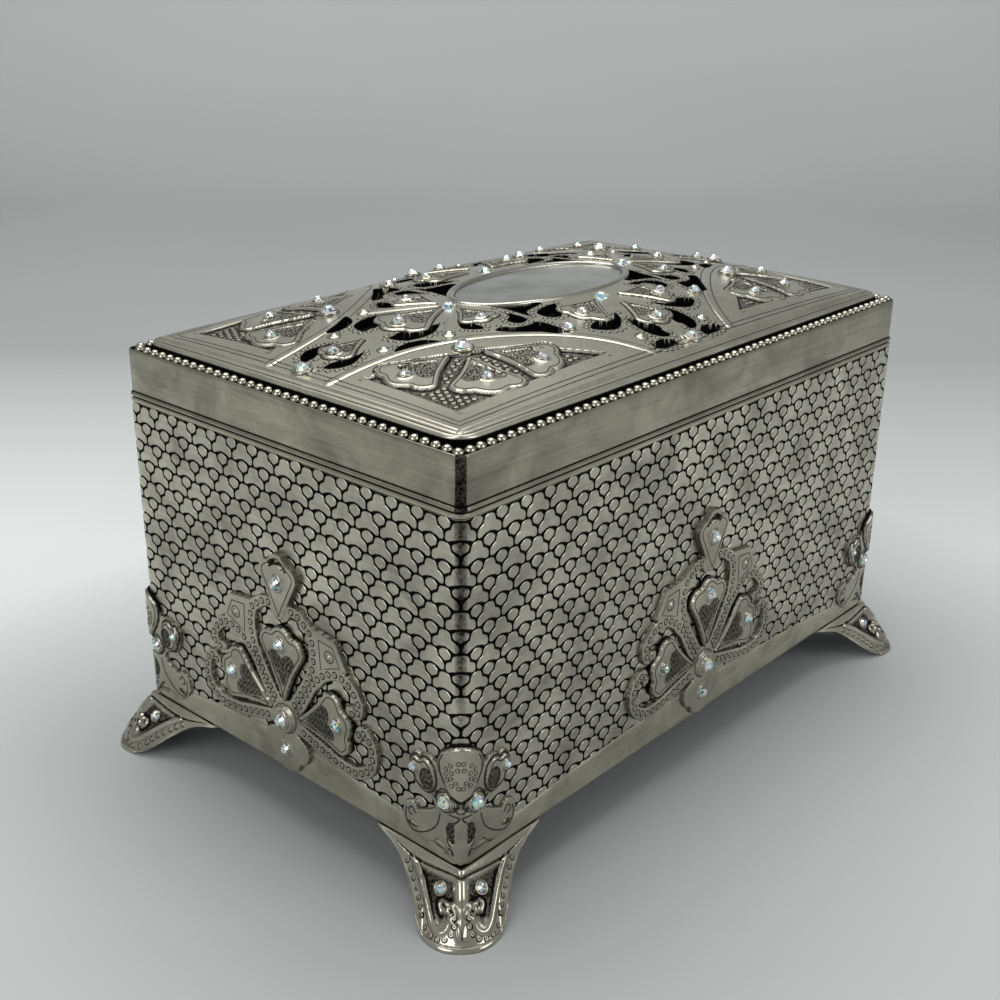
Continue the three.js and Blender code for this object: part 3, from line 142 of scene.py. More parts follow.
# The painted glow shows only to camera, glossy and transmission rays.
paths = node(tree, "LightPath").outputs
seen = calc(tree, "MAXIMUM", paths["Is Camera Ray"], paths["Is Glossy Ray"])
seen = calc(tree, "MAXIMUM", seen, paths["Is Transmission Ray"])
glow = blend_colours(tree, lift, black, (0.39, 0.40, 0.39, 1))
tree.links.new(tone, shader.inputs["Base Color"])
tree.links.new(blend_colours(tree, seen, black, glow), shader.inputs["Emission Color"])

bpy.ops.mesh.primitive_grid_add(x_subdivisions=60, y_subdivisions=2, size=1)
card = bpy.context.object
card.name = "pale_card"
sweep_start, sweep_turn, sweep_back, sweep_rise, card_width = 0.75, 0.6, -1.6, 1.2, 5
for vertex in card.data.vertices:
    sheet_length = sweep_start - sweep_back + sweep_turn * right_angle + sweep_rise
    run = sweep_back + (vertex.co.x + 0.5) * sheet_length
    bend = min(max((run - sweep_start) / sweep_turn, 0), right_angle)
    out = min(run, sweep_start) + sweep_turn * math.sin(bend)
    up = sweep_turn * (1 - math.cos(bend)) + max(run - sweep_start - sweep_turn * right_angle, 0)
    vertex.co = away * out + across * vertex.co.y * card_width + Vector((0, 0, up))
card.data.shade_smooth()
card.data.materials.append(card_finish)

lit_place = Vector((0, 0, 0.06))
for name, spot, size, power in [
    ("overhead lamp", (0.15, 0.25, 1.25), 1.3, 12.0),
    ("left lamp", (-1.15, -0.1, 0.75), 0.9, 5.0),
    ("front lamp", (0.35, -1.25, 0.8), 0.9, 5.0),
]:
    bpy.ops.object.light_add(type="AREA", location=spot)
    lamp = bpy.context.object
    lamp.name = name
    lamp.data.shape = "DISK"
    lamp.data.size = size
    lamp.data.energy = power
    lamp.rotation_euler = (lit_place - Vector(spot)).to_track_quat("-Z", "Y").to_euler()

room = bpy.data.worlds.new("pale room")
bpy.context.scene.world = room
room.use_nodes = True
room.node_tree.nodes["Background"].inputs["Color"].default_value = (0.40, 0.41, 0.41, 1)
room.node_tree.nodes["Background"].inputs["Strength"].default_value = 1.0


# Case walls: a thin cast tub. Three-lobed scales with a bud over every joint cover it down to a plain apron.
# The ground between them is blackened, and the scales are rubbed back to bright antique nickel, with a
# painted dark reflection on the upright corners.
wear = bpy.data.node_groups.new("rubbed casting", "ShaderNodeTree")
for direction, kind, names in [
    ("INPUT", "Color", "High Low"), ("INPUT", "Float", "Relief Blotch Polish Brush"),
    ("OUTPUT", "Color", "Color"), ("OUTPUT", "Float", "Roughness Height"),
]:
    for name in names.split():
        socket = wear.interface.new_socket(name=name, in_out=direction, socket_type="NodeSocket" + kind)
        if name == "Relief":
            socket.default_value = 1.0
given = wear.nodes.new("NodeGroupInput").outputs
place = object_place(wear)
grain = noise(wear, place, 1500.0, Detail=3.0)
patches = noise(wear, place, 70.0, Detail=6.0, Roughness=0.62, Distortion=0.6)
strokes = node(wear, "Mapping", Vector=place, Scale=(40.0, 40.0, 1300.0)).outputs[0]
brushed = noise(wear, strokes, 1.0, Detail=3.0)
worn = calc(wear, "ADD", given["Relief"], calc(wear, "MULTIPLY_ADD", grain, 0.5, -0.25))
rubbed = ramp(wear, worn, 0.22, 0.72)
patchy = calc(wear, "MULTIPLY", ramp(wear, patches, 0.34, 0.66, -1.0), given["Blotch"])
streaky = calc(wear, "MULTIPLY", ramp(wear, brushed, 0.3, 0.7, -1.0), given["Brush"])
uneven = calc(wear, "ADD", patchy, streaky)
shade = calc(wear, "MULTIPLY_ADD", uneven, 0.5, 0.9)
high = vector_calc(wear, "MULTIPLY", given["High"], node(wear, "CombineXYZ", shade, shade, shade).outputs[0])
matt = node(wear, "Mix", data_type="FLOAT", _0=rubbed, _2=0.75, _3=given["Polish"]).outputs[0]
result = wear.nodes.new("NodeGroupOutput").inputs
wear.links.new(blend_colours(wear, rubbed, given["Low"], high), result["Color"])
wear.links.new(calc(wear, "MULTIPLY_ADD", uneven, -0.14, matt), result["Roughness"])
wear.links.new(calc(wear, "MULTIPLY_ADD", grain, 0.4, streaky), result["Height"])


def cast_relief(tree):
    """The relief that a casting keeps as an attribute."""
    return node(tree, "Attribute", attribute_name="relief").outputs["Fac"]


def metal_finish(name, high, low, polish, blotch, brush, relief=None, depth=0.00006):
    """A worn metal finish; relief makes the socket that says what stands proud, painted dark reflections
    included.
    """
    finish, tree, shader = new_finish(name, Metallic=1.0)
    group = tree.nodes.new("ShaderNodeGroup")
    group.node_tree = wear
    looks = {"High": (*high, 1), "Low": (*low, 1), "Polish": polish, "Blotch": blotch, "Brush": brush}
    for key, value in looks.items():
        group.inputs[key].default_value = value
    if relief:
        tree.links.new(relief(tree), group.inputs["Relief"])
    bump = node(tree, "Bump", Strength=0.5, Distance=depth, Height=group.outputs["Height"]).outputs["Normal"]
    tree.links.new(group.outputs["Color"], shader.inputs["Base Color"])
    tree.links.new(group.outputs["Roughness"], shader.inputs["Roughness"])
    tree.links.new(bump, shader.inputs["Normal"])
    return finish


def ground_shows(tree):
    """Bright along the bead at the top of the tub, black under the scales."""
    height = node(tree, "SeparateXYZ", Vector=object_place(tree)).outputs["Z"]
    return ramp(tree, height, 98.2 * mm, 98.8 * mm, 0.12)


def dress(piece, finish):
    """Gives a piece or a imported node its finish."""
    piece.data.materials.clear()
    piece.data.materials.append(finish)


def set_piece(piece, finish, body, slot, *replaced):
    """Gives a piece its finish and body, and hides the imported nodes that it stands for; the slot is not used.
    """
    dress(piece, finish)
    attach(piece, body)
    if replaced:
        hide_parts(*replaced)


nickel_high, nickel_low = (0.46, 0.435, 0.345), (0.010, 0.009, 0.007)
wall_finish = metal_finish("blackened wall ground", nickel_high, nickel_low, 0.34, 0.3, 0.3, ground_shows)
dress(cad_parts["case_walls"], wall_finish)

box_length, box_width, corner_turn = 183.5, 115.0, 2.5
quarter_arc = corner_turn * math.pi / 2
flat_sides = [box_length - 2 * corner_turn, box_width - 2 * corner_turn] * 2
box_round = sum(flat_sides) + 4 * quarter_arc


def round_the_box(along, proud):
    """Plan place of points that lie some way round the box from its front left corner, proud of its faces."""
    along = (np.asarray(along, float) + quarter_arc / 2) % box_round
    proud = np.broadcast_to(np.asarray(proud, float), along.shape)
    plan = np.zeros(along.shape + (2,))
    start = 0.0
    for side, run in enumerate(flat_sides):
        sign = [(-1, -1), (1, -1), (1, 1), (-1, 1)][side]
        centre = np.array([sign[0] * (box_length / 2 - corner_turn), sign[1] * (box_width / 2 - corner_turn)])
        on_arc = (along >= start) & (along < start + quarter_arc)
        angle = math.pi + side * math.pi / 2 + (along[on_arc] - start) / corner_turn
        reach = corner_turn + proud[on_arc]
        plan[on_arc] = centre + np.stack([reach * np.cos(angle), reach * np.sin(angle)], -1)
        start += quarter_arc
        on_flat = (along >= start) & (along <= start + run + 1e-9)
        turn = side * math.pi / 2
        forth = np.array([math.cos(turn), math.sin(turn)])
        out = np.array([math.sin(turn), -math.cos(turn)])
        step = (along[on_flat] - start)[:, None]
        plan[on_flat] = centre + out * (corner_turn + proud[on_flat])[:, None] + forth * step
        start += run
    return plan


def whole_outline(half):
    """Both halves of an outline whose right half is given from top to bottom or bottom to top."""
    return list(half) + [(-x, y) for x, y in reversed(half) if x > 0]


def drawn_in(outline, gap):
    """An outline moved inwards all round."""
    points = np.array(outline)
    before, after = np.roll(points, 1, 0), np.roll(points, -1, 0)
    run = after - before
    normal = np.stack([-run[:, 1], run[:, 0]], -1) / np.linalg.norm(run, axis=1)[:, None]
    area = np.sum(points[:, 0] * after[:, 1] - after[:, 0] * points[:, 1])
    return points + normal * gap * (1 if area > 0 else -1)


scale_count, scale_row, scale_rows = 77, 5.04, 16
scale_pitch = box_round / scale_count
first_scale_top, scale_cut = 98.2, 98.75
plate_rise, plate_bevel, plate_crown = 0.3, 0.16, 0.11
corner_places = [0.0]
for run in flat_sides[:3]:
    corner_places.append(corner_places[-1] + run + quarter_arc)
corner_places.append(box_round)
cloud_half = [
    (0, 0), (0.95, 0.12), (1.5, 0.5), (1.76, 1.15), (1.97, 1.93), (2.75, 2.3), (3.4, 2.78), (3.66, 3.5),
    (3.6, 4.4), (3.2, 4.76), (2.5, 4.78), (1.6, 4.3), (0, 3.95),
]
bud_half = [
    (0, -0.66), (0.75, -0.5), (1.3, -0.1), (1.75, 0.32), (1.73, 1.0), (1.35, 1.62), (0.65, 1.98), (0, 2.36),
]


def painted_dark_corners(along, height):
    """Painted dark reflection on the upright corners, mostly in their upper half: the share of brightness they
    keep.
    """
    along = np.asarray(along, float) % box_round
    apart = np.min([np.abs(along - middle) for middle in corner_places], axis=0)
    least = 0.8 - 0.5 * np.clip((height - 42) / 22, 0, 1)
    return least + (1 - least) * np.clip((apart - 0.7) / 1.0, 0, 1)


def pick(piece):
    """Makes a piece the active one and the only one selected."""
    bpy.ops.object.select_all(action="DESELECT")
    piece.select_set(True)
    bpy.context.view_layer.objects.active = piece


def open_up(piece):
    """Opens one piece for editing, with all of it selected."""
    pick(piece)
    bpy.ops.object.mode_set(mode="EDIT")
    bpy.ops.mesh.select_all(action="SELECT")


def close_up():
    """Ends the editing."""
    bpy.ops.object.mode_set(mode="OBJECT")
    bpy.ops.object.select_all(action="DESELECT")


def crisp_edges(piece, degrees):
    """Smooths a piece, apart from the edges that turn more than that."""
    pick(piece)
    bpy.ops.object.shade_smooth_by_angle(angle=math.radians(degrees))
    piece.select_set(False)


def mesh_values(store, key, width=1):
    """The values that a mesh stores for its points, in rows of that width."""
    values = np.zeros(len(store) * width)
    store.foreach_get(key, values)
    return values.reshape(-1, width)


def scale_field(name, half, shift):
    """One small bevelled plate, repeated in staggered rows and bent round the box."""
    outline = whole_outline(half)
    bpy.ops.mesh.primitive_circle_add(vertices=len(outline), radius=mm, fill_type="NGON")
    plate = bpy.context.object
    plate.name = name
    for vertex, (x, y) in zip(plate.data.vertices, outline):
        vertex.co = ((x + shift) * mm, (-y + first_scale_top) * mm, 0)
    open_up(plate)
    bpy.ops.mesh.extrude_region_move(TRANSFORM_OT_translate={"value": (0, 0, plate_rise * mm)})
    bpy.ops.mesh.inset(thickness=plate_bevel * mm, depth=-plate_crown * mm)
    bpy.ops.mesh.poke(offset=0.0)
    bpy.ops.mesh.select_all(action="SELECT")
    bpy.ops.mesh.normals_make_consistent(inside=False)
    close_up()
    for count, *offset in [
        (2, scale_pitch / 2, -scale_row, 0),
        (scale_count, scale_pitch, 0, 0),
        (scale_rows // 2, 0, -2 * scale_row, 0),
    ]:
        array = plate.modifiers.new("rows", "ARRAY")
        array.use_relative_offset = False
        array.use_constant_offset = True
        array.constant_offset_displace = [value * mm for value in offset]
        array.count = count
        bpy.ops.object.modifier_apply(modifier=array.name)
    open_up(plate)
    bpy.ops.mesh.bisect(plane_co=(0, scale_cut * mm, 0), plane_no=(0, 1, 0), use_fill=True, clear_outer=True)
    for middle in corner_places:
        for step in (-1, -0.5, 0, 0.5, 1):
            bpy.ops.mesh.select_all(action="SELECT")
            cut_place = (middle + step * quarter_arc / 2) * mm
            bpy.ops.mesh.bisect(plane_co=(cut_place, 0, 0), plane_no=(1, 0, 0))
    close_up()
    along, height, proud = (mesh_values(plate.data.vertices, "co", 3) / mm).T
    bent = np.column_stack([round_the_box(along, proud), height]) * mm
    plate.data.vertices.foreach_set("co", bent.ravel())
    # The bevels' relief, darkened on the upright corners by the painted dark reflection.
    rubbed = np.clip((proud - 0.27) / 0.12, 0, 1) * painted_dark_corners(along, height)
    plate.data.attributes.new("relief", "FLOAT", "POINT").data.foreach_set("value", rubbed)
    plate.data.update()
    crisp_edges(plate, 25)
    set_piece(plate, scale_finish, "case", "antique_metal")


scale_finish = metal_finish(
    "rubbed scales", (0.47, 0.45, 0.375), nickel_low, 0.32, 0.55, 0.15, cast_relief, depth=0.00002,
)
scale_field("wall_scales", cloud_half, 0.0)
scale_field("wall_buds", bud_half, scale_pitch / 2)


# Apron: the plain strip under the scales, part of the same casting. Its upper edge is a low arch on each side
# and stands over the scales with a dark line above it.
def new_piece(name, places, faces, shines=None, smooth=True):
    """A piece in metres, with what its points say of the relief as an attribute for the patina, and on some
    pieces for painted dark reflections.
    """
    mesh = bpy.data.meshes.new(name)
    mesh.from_pydata(places.tolist(), [], faces)
    if shines is not None:
        mesh.attributes.new("relief", "FLOAT", "POINT").data.foreach_set("value", shines.astype(np.float32))
    if smooth:
        mesh.shade_smooth()
    mesh.update()
    piece = bpy.data.objects.new(name, mesh)
    bpy.context.scene.collection.objects.link(piece)
    return piece


def faces_out(places, faces, outward):
    """How far each four-sided face looks outward: a direction, or a function of the faces' centres."""
    first, second = places[faces[:, 2]] - places[faces[:, 0]], places[faces[:, 3]] - places[faces[:, 1]]
    aim = outward(places[faces].mean(1)) if callable(outward) else outward
    return np.sum(np.cross(first, second) * aim, axis=1)


def cast_sheet(name, points, relief, kept=None, closed=False, outward=None, crisp=None):
    """A cast surface over rows of points in mm. Edges that turn more than the crisp angle stay sharp."""
    rows, columns = relief.shape
    index = np.arange(rows * columns).reshape(rows, columns)
    if closed:
        index = np.column_stack([index, index[:, :1]])
    quads = np.stack([index[:-1, :-1], index[:-1, 1:], index[1:, 1:], index[1:, :-1]], -1).reshape(-1, 4)
    if kept is not None:
        quads = quads[kept.reshape(-1)]
    used, quads = np.unique(quads, return_inverse=True)
    quads = quads.reshape(-1, 4)
    places = points.reshape(-1, 3)[used]
    if outward is not None and np.sum(faces_out(places, quads, outward)) < 0:
        quads = quads[:, ::-1]
    piece = new_piece(name, places * mm, quads.tolist(), relief.reshape(-1)[used])
    if crisp is not None:
        crisp_edges(piece, crisp)
    return piece


def in_rows(values, count):
    """Rows that each hold one value throughout."""
    return np.repeat(np.array(values, float)[:, None], count, axis=1)


def from_the_middle(centres):
    """Directions out from the upright middle line of the box."""
    return centres * np.array([1, 1, 0])


def apron_edge(along):
    """Height of the apron's upper edge, some way round the box."""
    around = (np.asarray(along, float) + quarter_arc / 2) % box_round
    height = np.full(around.shape, 19.0)
    start = quarter_arc
    for run in flat_sides:
        share = np.abs((around - start) / run * 2 - 1)
        height = np.where(share <= 1, np.maximum(24.0 - 5.6 * share ** 2, 19.0), height)
        start += run + quarter_arc
    return height


apron_steps = 400
apron_along = np.linspace(0, box_round, apron_steps, endpoint=False)
edge = apron_edge(apron_along)
apron_rim = [(0.0, 0.05, 0.0), (0.3, 0.05, 0.1), (0.5, -0.15, 0.7), (0.58, -0.5, 1), (0.56, -1.4, 0.9)]
apron_base = [(0.56, 18.2, 0.85), (0.56, 16.4, 0.9), (0.56, 15.4, 1), (0.56, 15.06, 0.9), (0.0, 15.02, 0.2)]
lines = [(proud, edge + drop, shine) for proud, drop, shine in apron_rim]
lines += [(proud, np.full(apron_steps, height), shine) for proud, height, shine in apron_base]
rows = [np.column_stack([round_the_box(apron_along, proud), height]) for proud, height, _ in lines]
relief = in_rows([shine for _, _, shine in lines], apron_steps)
apron = cast_sheet("wall_apron", np.array(rows), relief, closed=True, outward=from_the_middle)
band_finish = metal_finish("plain rubbed casting", nickel_high, nickel_low, 0.33, 0.5, 0.15, cast_relief)
set_piece(apron, band_finish, "case", "antique_metal")


# Feet: four hollow cast brackets, one under each corner. A wing runs along each wall and both draw down to a
# rounded toe, with a bright V at the top, hollow panels, a border of rings and two curls over the toe. The
# hollow panels are darkened with a painted dark reflection of their polish.
def thousandths(*points):
    """Points marked out in thousandths."""
    return np.array(points) / 1000


foot_top, foot_wing, foot_reach, foot_wall = 14.7, 26.7, 8.2, 2.8
foot_rim = thousandths(
    (307, 1000, 0), (157, 1330, 0), (-37, 1350, 10), (-217, 1085, 140), (-420, 646, 450), (-674, 280, 780),
    (-1000, 73, 970),
)


def smooth_line(points, count, closed=False):
    """Points on a smooth curve through the given ones, spaced evenly from one to the next."""
    given = np.array(points, float)
    spans = len(given) if closed else len(given) - 1
    place = np.linspace(0, spans, count, endpoint=not closed)
    span = np.minimum(place.astype(int), spans - 1)
    share = (place - span)[:, None]
    ends = (given[-1:], given[:2]) if closed else (2 * given[:1] - given[1:2], 2 * given[-1:] - given[-2:-1])
    padded = np.vstack([ends[0], given, ends[1]])
    before, here, after, beyond = (padded[span + step] for step in range(4))
    return 0.5 * (
        2 * here + (after - before) * share + (2 * before - 5 * here + 4 * after - beyond) * share ** 2
        + (3 * here - before - 3 * after + beyond) * share ** 3
    )


def foot_skin(inset, across_count, down_count):
    """Rows of points of a foot's skin, from wing to wing and from the shelf down to the rim."""
    half = [
        (along * (foot_wing if along > 0 else foot_wing - inset * 0.3), out * foot_reach, up * foot_top)
        for along, out, up in foot_rim
    ]
    whole = [(y, x, z) for x, y, z in reversed(half[1:])] + half
    rim = smooth_line(whole, across_count)
    rim[:, 2] = np.where(rim[:, 2] < 0.4, 0, rim[:, 2])
    across = np.linspace(-1, 1, across_count)[:, None]
    share = np.linspace(0, 1, down_count)[None, :]
    wing = np.abs(across) ** 0.8 * foot_wing
    shelf = 0.6 - inset
    top_x = np.where(across < 0, shelf, shelf - wing)
    top_y = np.where(across < 0, shelf - wing, shelf)
    toe = np.cos(across * math.pi / 2).clip(0) ** 1.5
    spread = share ** 1.4
    pull = inset * share * 0.75
    bulge = 0.9 * toe * np.sin(math.pi * np.minimum(share * 1.05, 1))
    drop = share ** (1 + 0.25 * toe)
    x = top_x + (rim[:, :1] - top_x) * spread + bulge - pull * ((rim[:, :1] > 0) | (across < 0))
    y = top_y + (rim[:, 1:2] - top_y) * spread + bulge - pull * ((rim[:, 1:2] > 0) | (across > 0))
    z = foot_top + (rim[:, 2:] - foot_top) * drop
    return np.stack([x, y, z], -1)


def rise(value, low, high):
    """Goes smoothly from 0 at low to 1 at high."""
    share = np.clip((value - low) / (high - low), 0, 1)
    return share * share * (3 - 2 * share)


def hump(distance, width):
    """A smooth ridge, 1 on its line."""
    return np.exp(-(distance / width) ** 2)


def edge_gap(outline, x, y, reach=3.0):
    """Distance from a closed outline, below zero inside it; points far away just get the reach."""
    outline = np.asarray(outline, float)
    low, high = outline.min(0) - reach, outline.max(0) + reach
    near = (x > low[0]) & (x < high[0]) & (y > low[1]) & (y < high[1])
    gap = np.full(x.shape, reach)
    px, py = x[near], y[near]
    best = np.full(px.shape, reach ** 2)
    within = np.zeros(px.shape, bool)
    for (ax, ay), (bx, by) in zip(outline, np.roll(outline, -1, 0)):
        dx, dy = bx - ax, by - ay
        share = np.clip(((px - ax) * dx + (py - ay) * dy) / (dx * dx + dy * dy + 1e-12), 0, 1)
        best = np.minimum(best, (px - ax - share * dx) ** 2 + (py - ay - share * dy) ** 2)
        if ay != by:
            within ^= ((ay > py) != (by > py)) & (px < (bx - ax) * (py - ay) / (by - ay) + ax)
    gap[near] = np.where(within, -1, 1) * np.sqrt(best)
    return gap


foot_across, foot_down = 181, 61
skin = foot_skin(0, foot_across, foot_down)
inner = foot_skin(foot_wall, foot_across, foot_down)
across = np.linspace(-1, 1, foot_across)[:, None] * np.ones((1, foot_down))
share = np.ones((foot_across, 1)) * np.linspace(0, 1, foot_down)[None, :]
slope_across, slope_down = np.gradient(skin, axis=0), np.gradient(skin, axis=1)
normal = np.cross(slope_across, slope_down)
normal /= np.linalg.norm(normal, axis=-1, keepdims=True) + 1e-12
normal *= np.sign(np.sum(normal * np.array([1, 1, 0.3]), -1, keepdims=True) + 1e-9)


def foot_spot(over, at_across, at_share):
    """The value over the foot at a place across and down it."""
    column, row = (at_across + 1) / 2 * (foot_across - 1), at_share * (foot_down - 1)
    left, top = min(int(column), foot_across - 2), min(int(row), foot_down - 2)
    right_share, down_share = column - left, row - top
    upper = over[left, top] * (1 - right_share) + over[left + 1, top] * right_share
    lower = over[left, top + 1] * (1 - right_share) + over[left + 1, top + 1] * right_share
    return upper * (1 - down_share) + lower * down_share


def foot_place(at_across, at_share):
    """A place on the finished foot and its way out."""
    return foot_spot(outer, at_across, at_share), foot_spot(normal, at_across, at_share)


def foot_line_gap(points):
    """Distance of the skin's points from a smooth line through places given across and down it."""
    line = np.array([foot_spot(skin, *place) for place in smooth_line(points, 48)])
    return np.min(np.linalg.norm(skin[:, :, None] - line[None, None], axis=-1), axis=2)


foot_frame = thousandths(
    (500, 240), (440, 330), (390, 420), (340, 550), (300, 680), (260, 790), (200, 840), (130, 790),
    (100, 700), (90, 630),
)
foot_curl = thousandths(
    (145, 570), (160, 585), (145, 610), (115, 585), (120, 530), (165, 515), (195, 560), (180, 630),
)
foot_stem = thousandths((120, 520), (70, 520), (40, 600), (75, 670), (40, 740), (30, 840))
foot_rings = thousandths(
    (600, 400), (550, 460), (510, 520), (470, 590), (435, 660), (410, 730), (390, 800), (345, 870),
    (275, 905), (205, 905), (140, 880), (85, 820), (50, 730), (50, 640),
)
foot_panel = thousandths(
    (45, 200), (120, 210), (220, 220), (320, 235), (420, 250), (370, 400), (320, 540), (280, 660),
    (245, 750), (200, 790), (155, 740), (130, 660), (45, 480),
)
side = np.abs(across)
lip = rise(share, 0.0, 0.03) * (1 - rise(share, 0.10 + 0.16 * side, 0.14 + 0.16 * side))
groove = hump(share - 0.155 - 0.16 * side, 0.018)
height = 0.3 * lip - 0.35 * groove
shine = 0.86 + 0.14 * lip - 0.8 * groove
panel_size = (30.0, 14.0)
sunk = rise(-edge_gap(foot_panel * panel_size, side * panel_size[0], share * panel_size[1]), -0.2, 1.2)
height -= 0.75 * sunk
# Painted dark reflection: the polished sunk panels are darkened.
shine -= 0.58 * sunk
post = (1 - rise(side, 0.02, 0.045)) * rise(share, 0.16, 0.2) * (1 - rise(share, 0.42, 0.52))
height += 0.35 * post
for way in (-1, 1):
    frame_gap = foot_line_gap(foot_frame * (way, 1))
    height += 0.42 * hump(frame_gap, 0.42)
    shine += 0.2 * hump(frame_gap, 0.4) - 0.5 * hump(frame_gap - 0.95, 0.25)
    for line, girth in [(foot_curl, 0.48), (foot_stem, 0.5)]:
        gap = foot_line_gap(line * (way, 1))
        height += 0.7 * hump(gap, girth)
        shine += 0.5 * hump(gap, girth) - 0.4 * hump(gap - 2.0 * girth, 0.22)
toe_lip = rise(share, 0.93, 0.965) * (1 - rise(side, 0.45, 0.6))
height += 0.35 * toe_lip
shine -= 0.6 * hump(share - 0.94, 0.012) * (1 - rise(side, 0.45, 0.6))
edge_fade = rise(1 - side, 0, 0.05) * rise(1 - share, 0, 0.03)
outer = skin + normal * (height * edge_fade)[..., None]
foot_limit, foot_draw = 11.06, 0.962
outer = np.where(outer > 0, outer * [foot_draw, foot_draw, 1], outer)
outer = np.minimum(outer, [foot_limit, foot_limit, np.inf])
loop = np.concatenate([outer, inner[:, ::-1]], axis=1)
loop_shine = np.concatenate([np.clip(shine, 0, 1), np.full(inner.shape[:2], 0.35)], axis=1)


def at_corner(quarter):
    """Turn and place of a corner of the box."""
    turn = quarter * right_angle
    spin = np.array([[math.cos(turn), -math.sin(turn), 0], [math.sin(turn), math.cos(turn), 0], [0, 0, 1]])
    sign_x, sign_y = [(1, 1), (-1, 1), (-1, -1), (1, -1)][quarter]
    return spin, np.array([sign_x * box_length / 2, sign_y * box_width / 2, 0])


foot_finish = metal_finish("polished foot", (0.50, 0.475, 0.39), nickel_low, 0.12, 0.35, 0.1, cast_relief)
crystal_places = {"case": [], "lid": []}
ring_places = {"case": [], "lid": []}
corner_names = ["back_right", "back_left", "front_left", "front_right"]
for quarter, name in enumerate(corner_names):
    spin, corner = at_corner(quarter)
    foot = cast_sheet(f"foot_shell_{name}", loop @ spin.T + corner, loop_shine, closed=True)
    open_up(foot)
    bpy.ops.mesh.fill_holes(sides=0)
    bpy.ops.mesh.normals_make_consistent(inside=False)
    close_up()
    set_piece(foot, foot_finish, "case", "antique_metal", f"foot_{name}")
    for way in (-1, 1):
        for place in foot_rings * (way, 1):
            spot, out = foot_place(*place)
            ring_places["case"].append((spin @ (spot - out * 0.02) + corner, spin @ out, 0.82))
        spot, out = foot_place(way * 0.195, 0.394)
        crystal_places["case"].append((spin @ (spot - out * 0.25) + corner, spin @ out, 1.4))


# Side medallions: one openwork casting in the middle of each side, pinned on through its pivot. Heart petals
# fan out between bands of small rings, under a finial, with cut stones in the petals.
def line_gap(line, x, y, reach=4.0):
    """Distance from an open line, and how far along it the nearest point lies, from 0 to 1."""
    line = np.asarray(line, float)
    low, high = line.min(0) - reach, line.max(0) + reach
    near = (x > low[0]) & (x < high[0]) & (y > low[1]) & (y < high[1])
    gap, along = np.full(x.shape, reach), np.zeros(x.shape)
    px, py = x[near], y[near]
    best, where = np.full(px.shape, reach ** 2), np.zeros(px.shape)
    for step, ((ax, ay), (bx, by)) in enumerate(zip(line[:-1], line[1:])):
        dx, dy = bx - ax, by - ay
        share = np.clip(((px - ax) * dx + (py - ay) * dy) / (dx * dx + dy * dy + 1e-12), 0, 1)
        apart = (px - ax - share * dx) ** 2 + (py - ay - share * dy) ** 2
        where = np.where(apart < best, (step + share) / (len(line) - 1), where)
        best = np.minimum(best, apart)
    gap[near], along[near] = np.sqrt(best), where
    return gap, along


def spaced(line, pitch):
    """Points an even pitch apart along a line."""
    line = np.asarray(line, float)
    run = np.concatenate([[0], np.cumsum(np.linalg.norm(np.diff(line, axis=0), axis=1))])
    count = max(int(run[-1] / pitch), 1)
    stops = (np.arange(count) + 0.5) * run[-1] / count
    return np.column_stack([np.interp(stops, run, line[:, axis]) for axis in range(line.shape[1])])


def laid(points, size, degrees, place):
    """Shares of a size, laid with their second axis along a direction."""
    points, aim = np.asarray(points, float) * size, math.radians(degrees)
    forth, aside = np.array([math.cos(aim), math.sin(aim)]), np.array([math.sin(aim), -math.cos(aim)])
    return np.asarray(place, float) + points[:, :1] * aside + points[:, 1:2] * forth


def stipple(x, y):
    """Fine uneven hatching of a punched ground."""
    return np.sin(9.1 * x + 1.9 * np.sin(5.1 * y)) * np.sin(8.7 * y + 1.7 * np.sin(4.7 * x + 1.0))


heart_half = thousandths(
    (0, 0), (120, 220), (233, 441), (360, 629), (398, 700), (390, 780), (330, 870), (245, 905), (185, 905),
    (120, 960), (50, 995), (0, 1000),
)
pad_half = thousandths(
    (0, 200), (80, 310), (165, 440), (215, 530), (222, 590), (190, 635), (130, 650), (60, 630), (0, 585),
)
petal_length, petal_stone = 20.2, 15.6


def petal_lines(root, degrees, size, wide=1.0):
    """The outline of a heart petal, its inner line and its punched heart."""
    stretch = np.array([petal_length * size * wide, petal_length * size])
    outline = laid(smooth_line(whole_outline(heart_half), 90, closed=True), stretch, degrees, root)
    pad = laid(smooth_line(whole_outline(pad_half), 54, closed=True), stretch, degrees, root)
    inner = drawn_in(outline, 1.25 * size ** 0.6)
    return outline, inner, pad


def raise_petal(height, shine, x, y, petal, ground, lift):
    """Raises a petal as a flat plate with a punched heart."""
    outline, _, pad = petal_lines(*petal)
    gap, pad_gap = edge_gap(outline, x, y), edge_gap(pad, x, y)
    on_plate = gap < 0.02
    height = np.where(on_plate, ground + lift * rise(-gap, -0.02, 0.3), height)
    shine = np.where(on_plate, 0.15 + 0.8 * rise(-gap, 0.0, 0.28), shine)
    shine = shine - 0.5 * (gap >= 0.02) * (1 - rise(gap, 0.25, 0.55))
    punched = rise(-pad_gap, 0, 0.3)
    hatch = stipple(x, y)
    height = height - punched * (0.3 - 0.1 * hatch)
    shine = shine - punched * (0.6 - 0.2 * hatch)
    return height, shine, gap


def seat_stone(height, shine, x, y, stone, lift=0.3):
    """A raised seat round a stone."""
    cx, cy, radius = stone
    distance = np.hypot(x - cx, y - cy)
    height = height + lift * (1 - rise(distance, radius + 0.25, radius + 0.75))
    return height, np.where(distance < radius + 0.6, 0.9, shine)


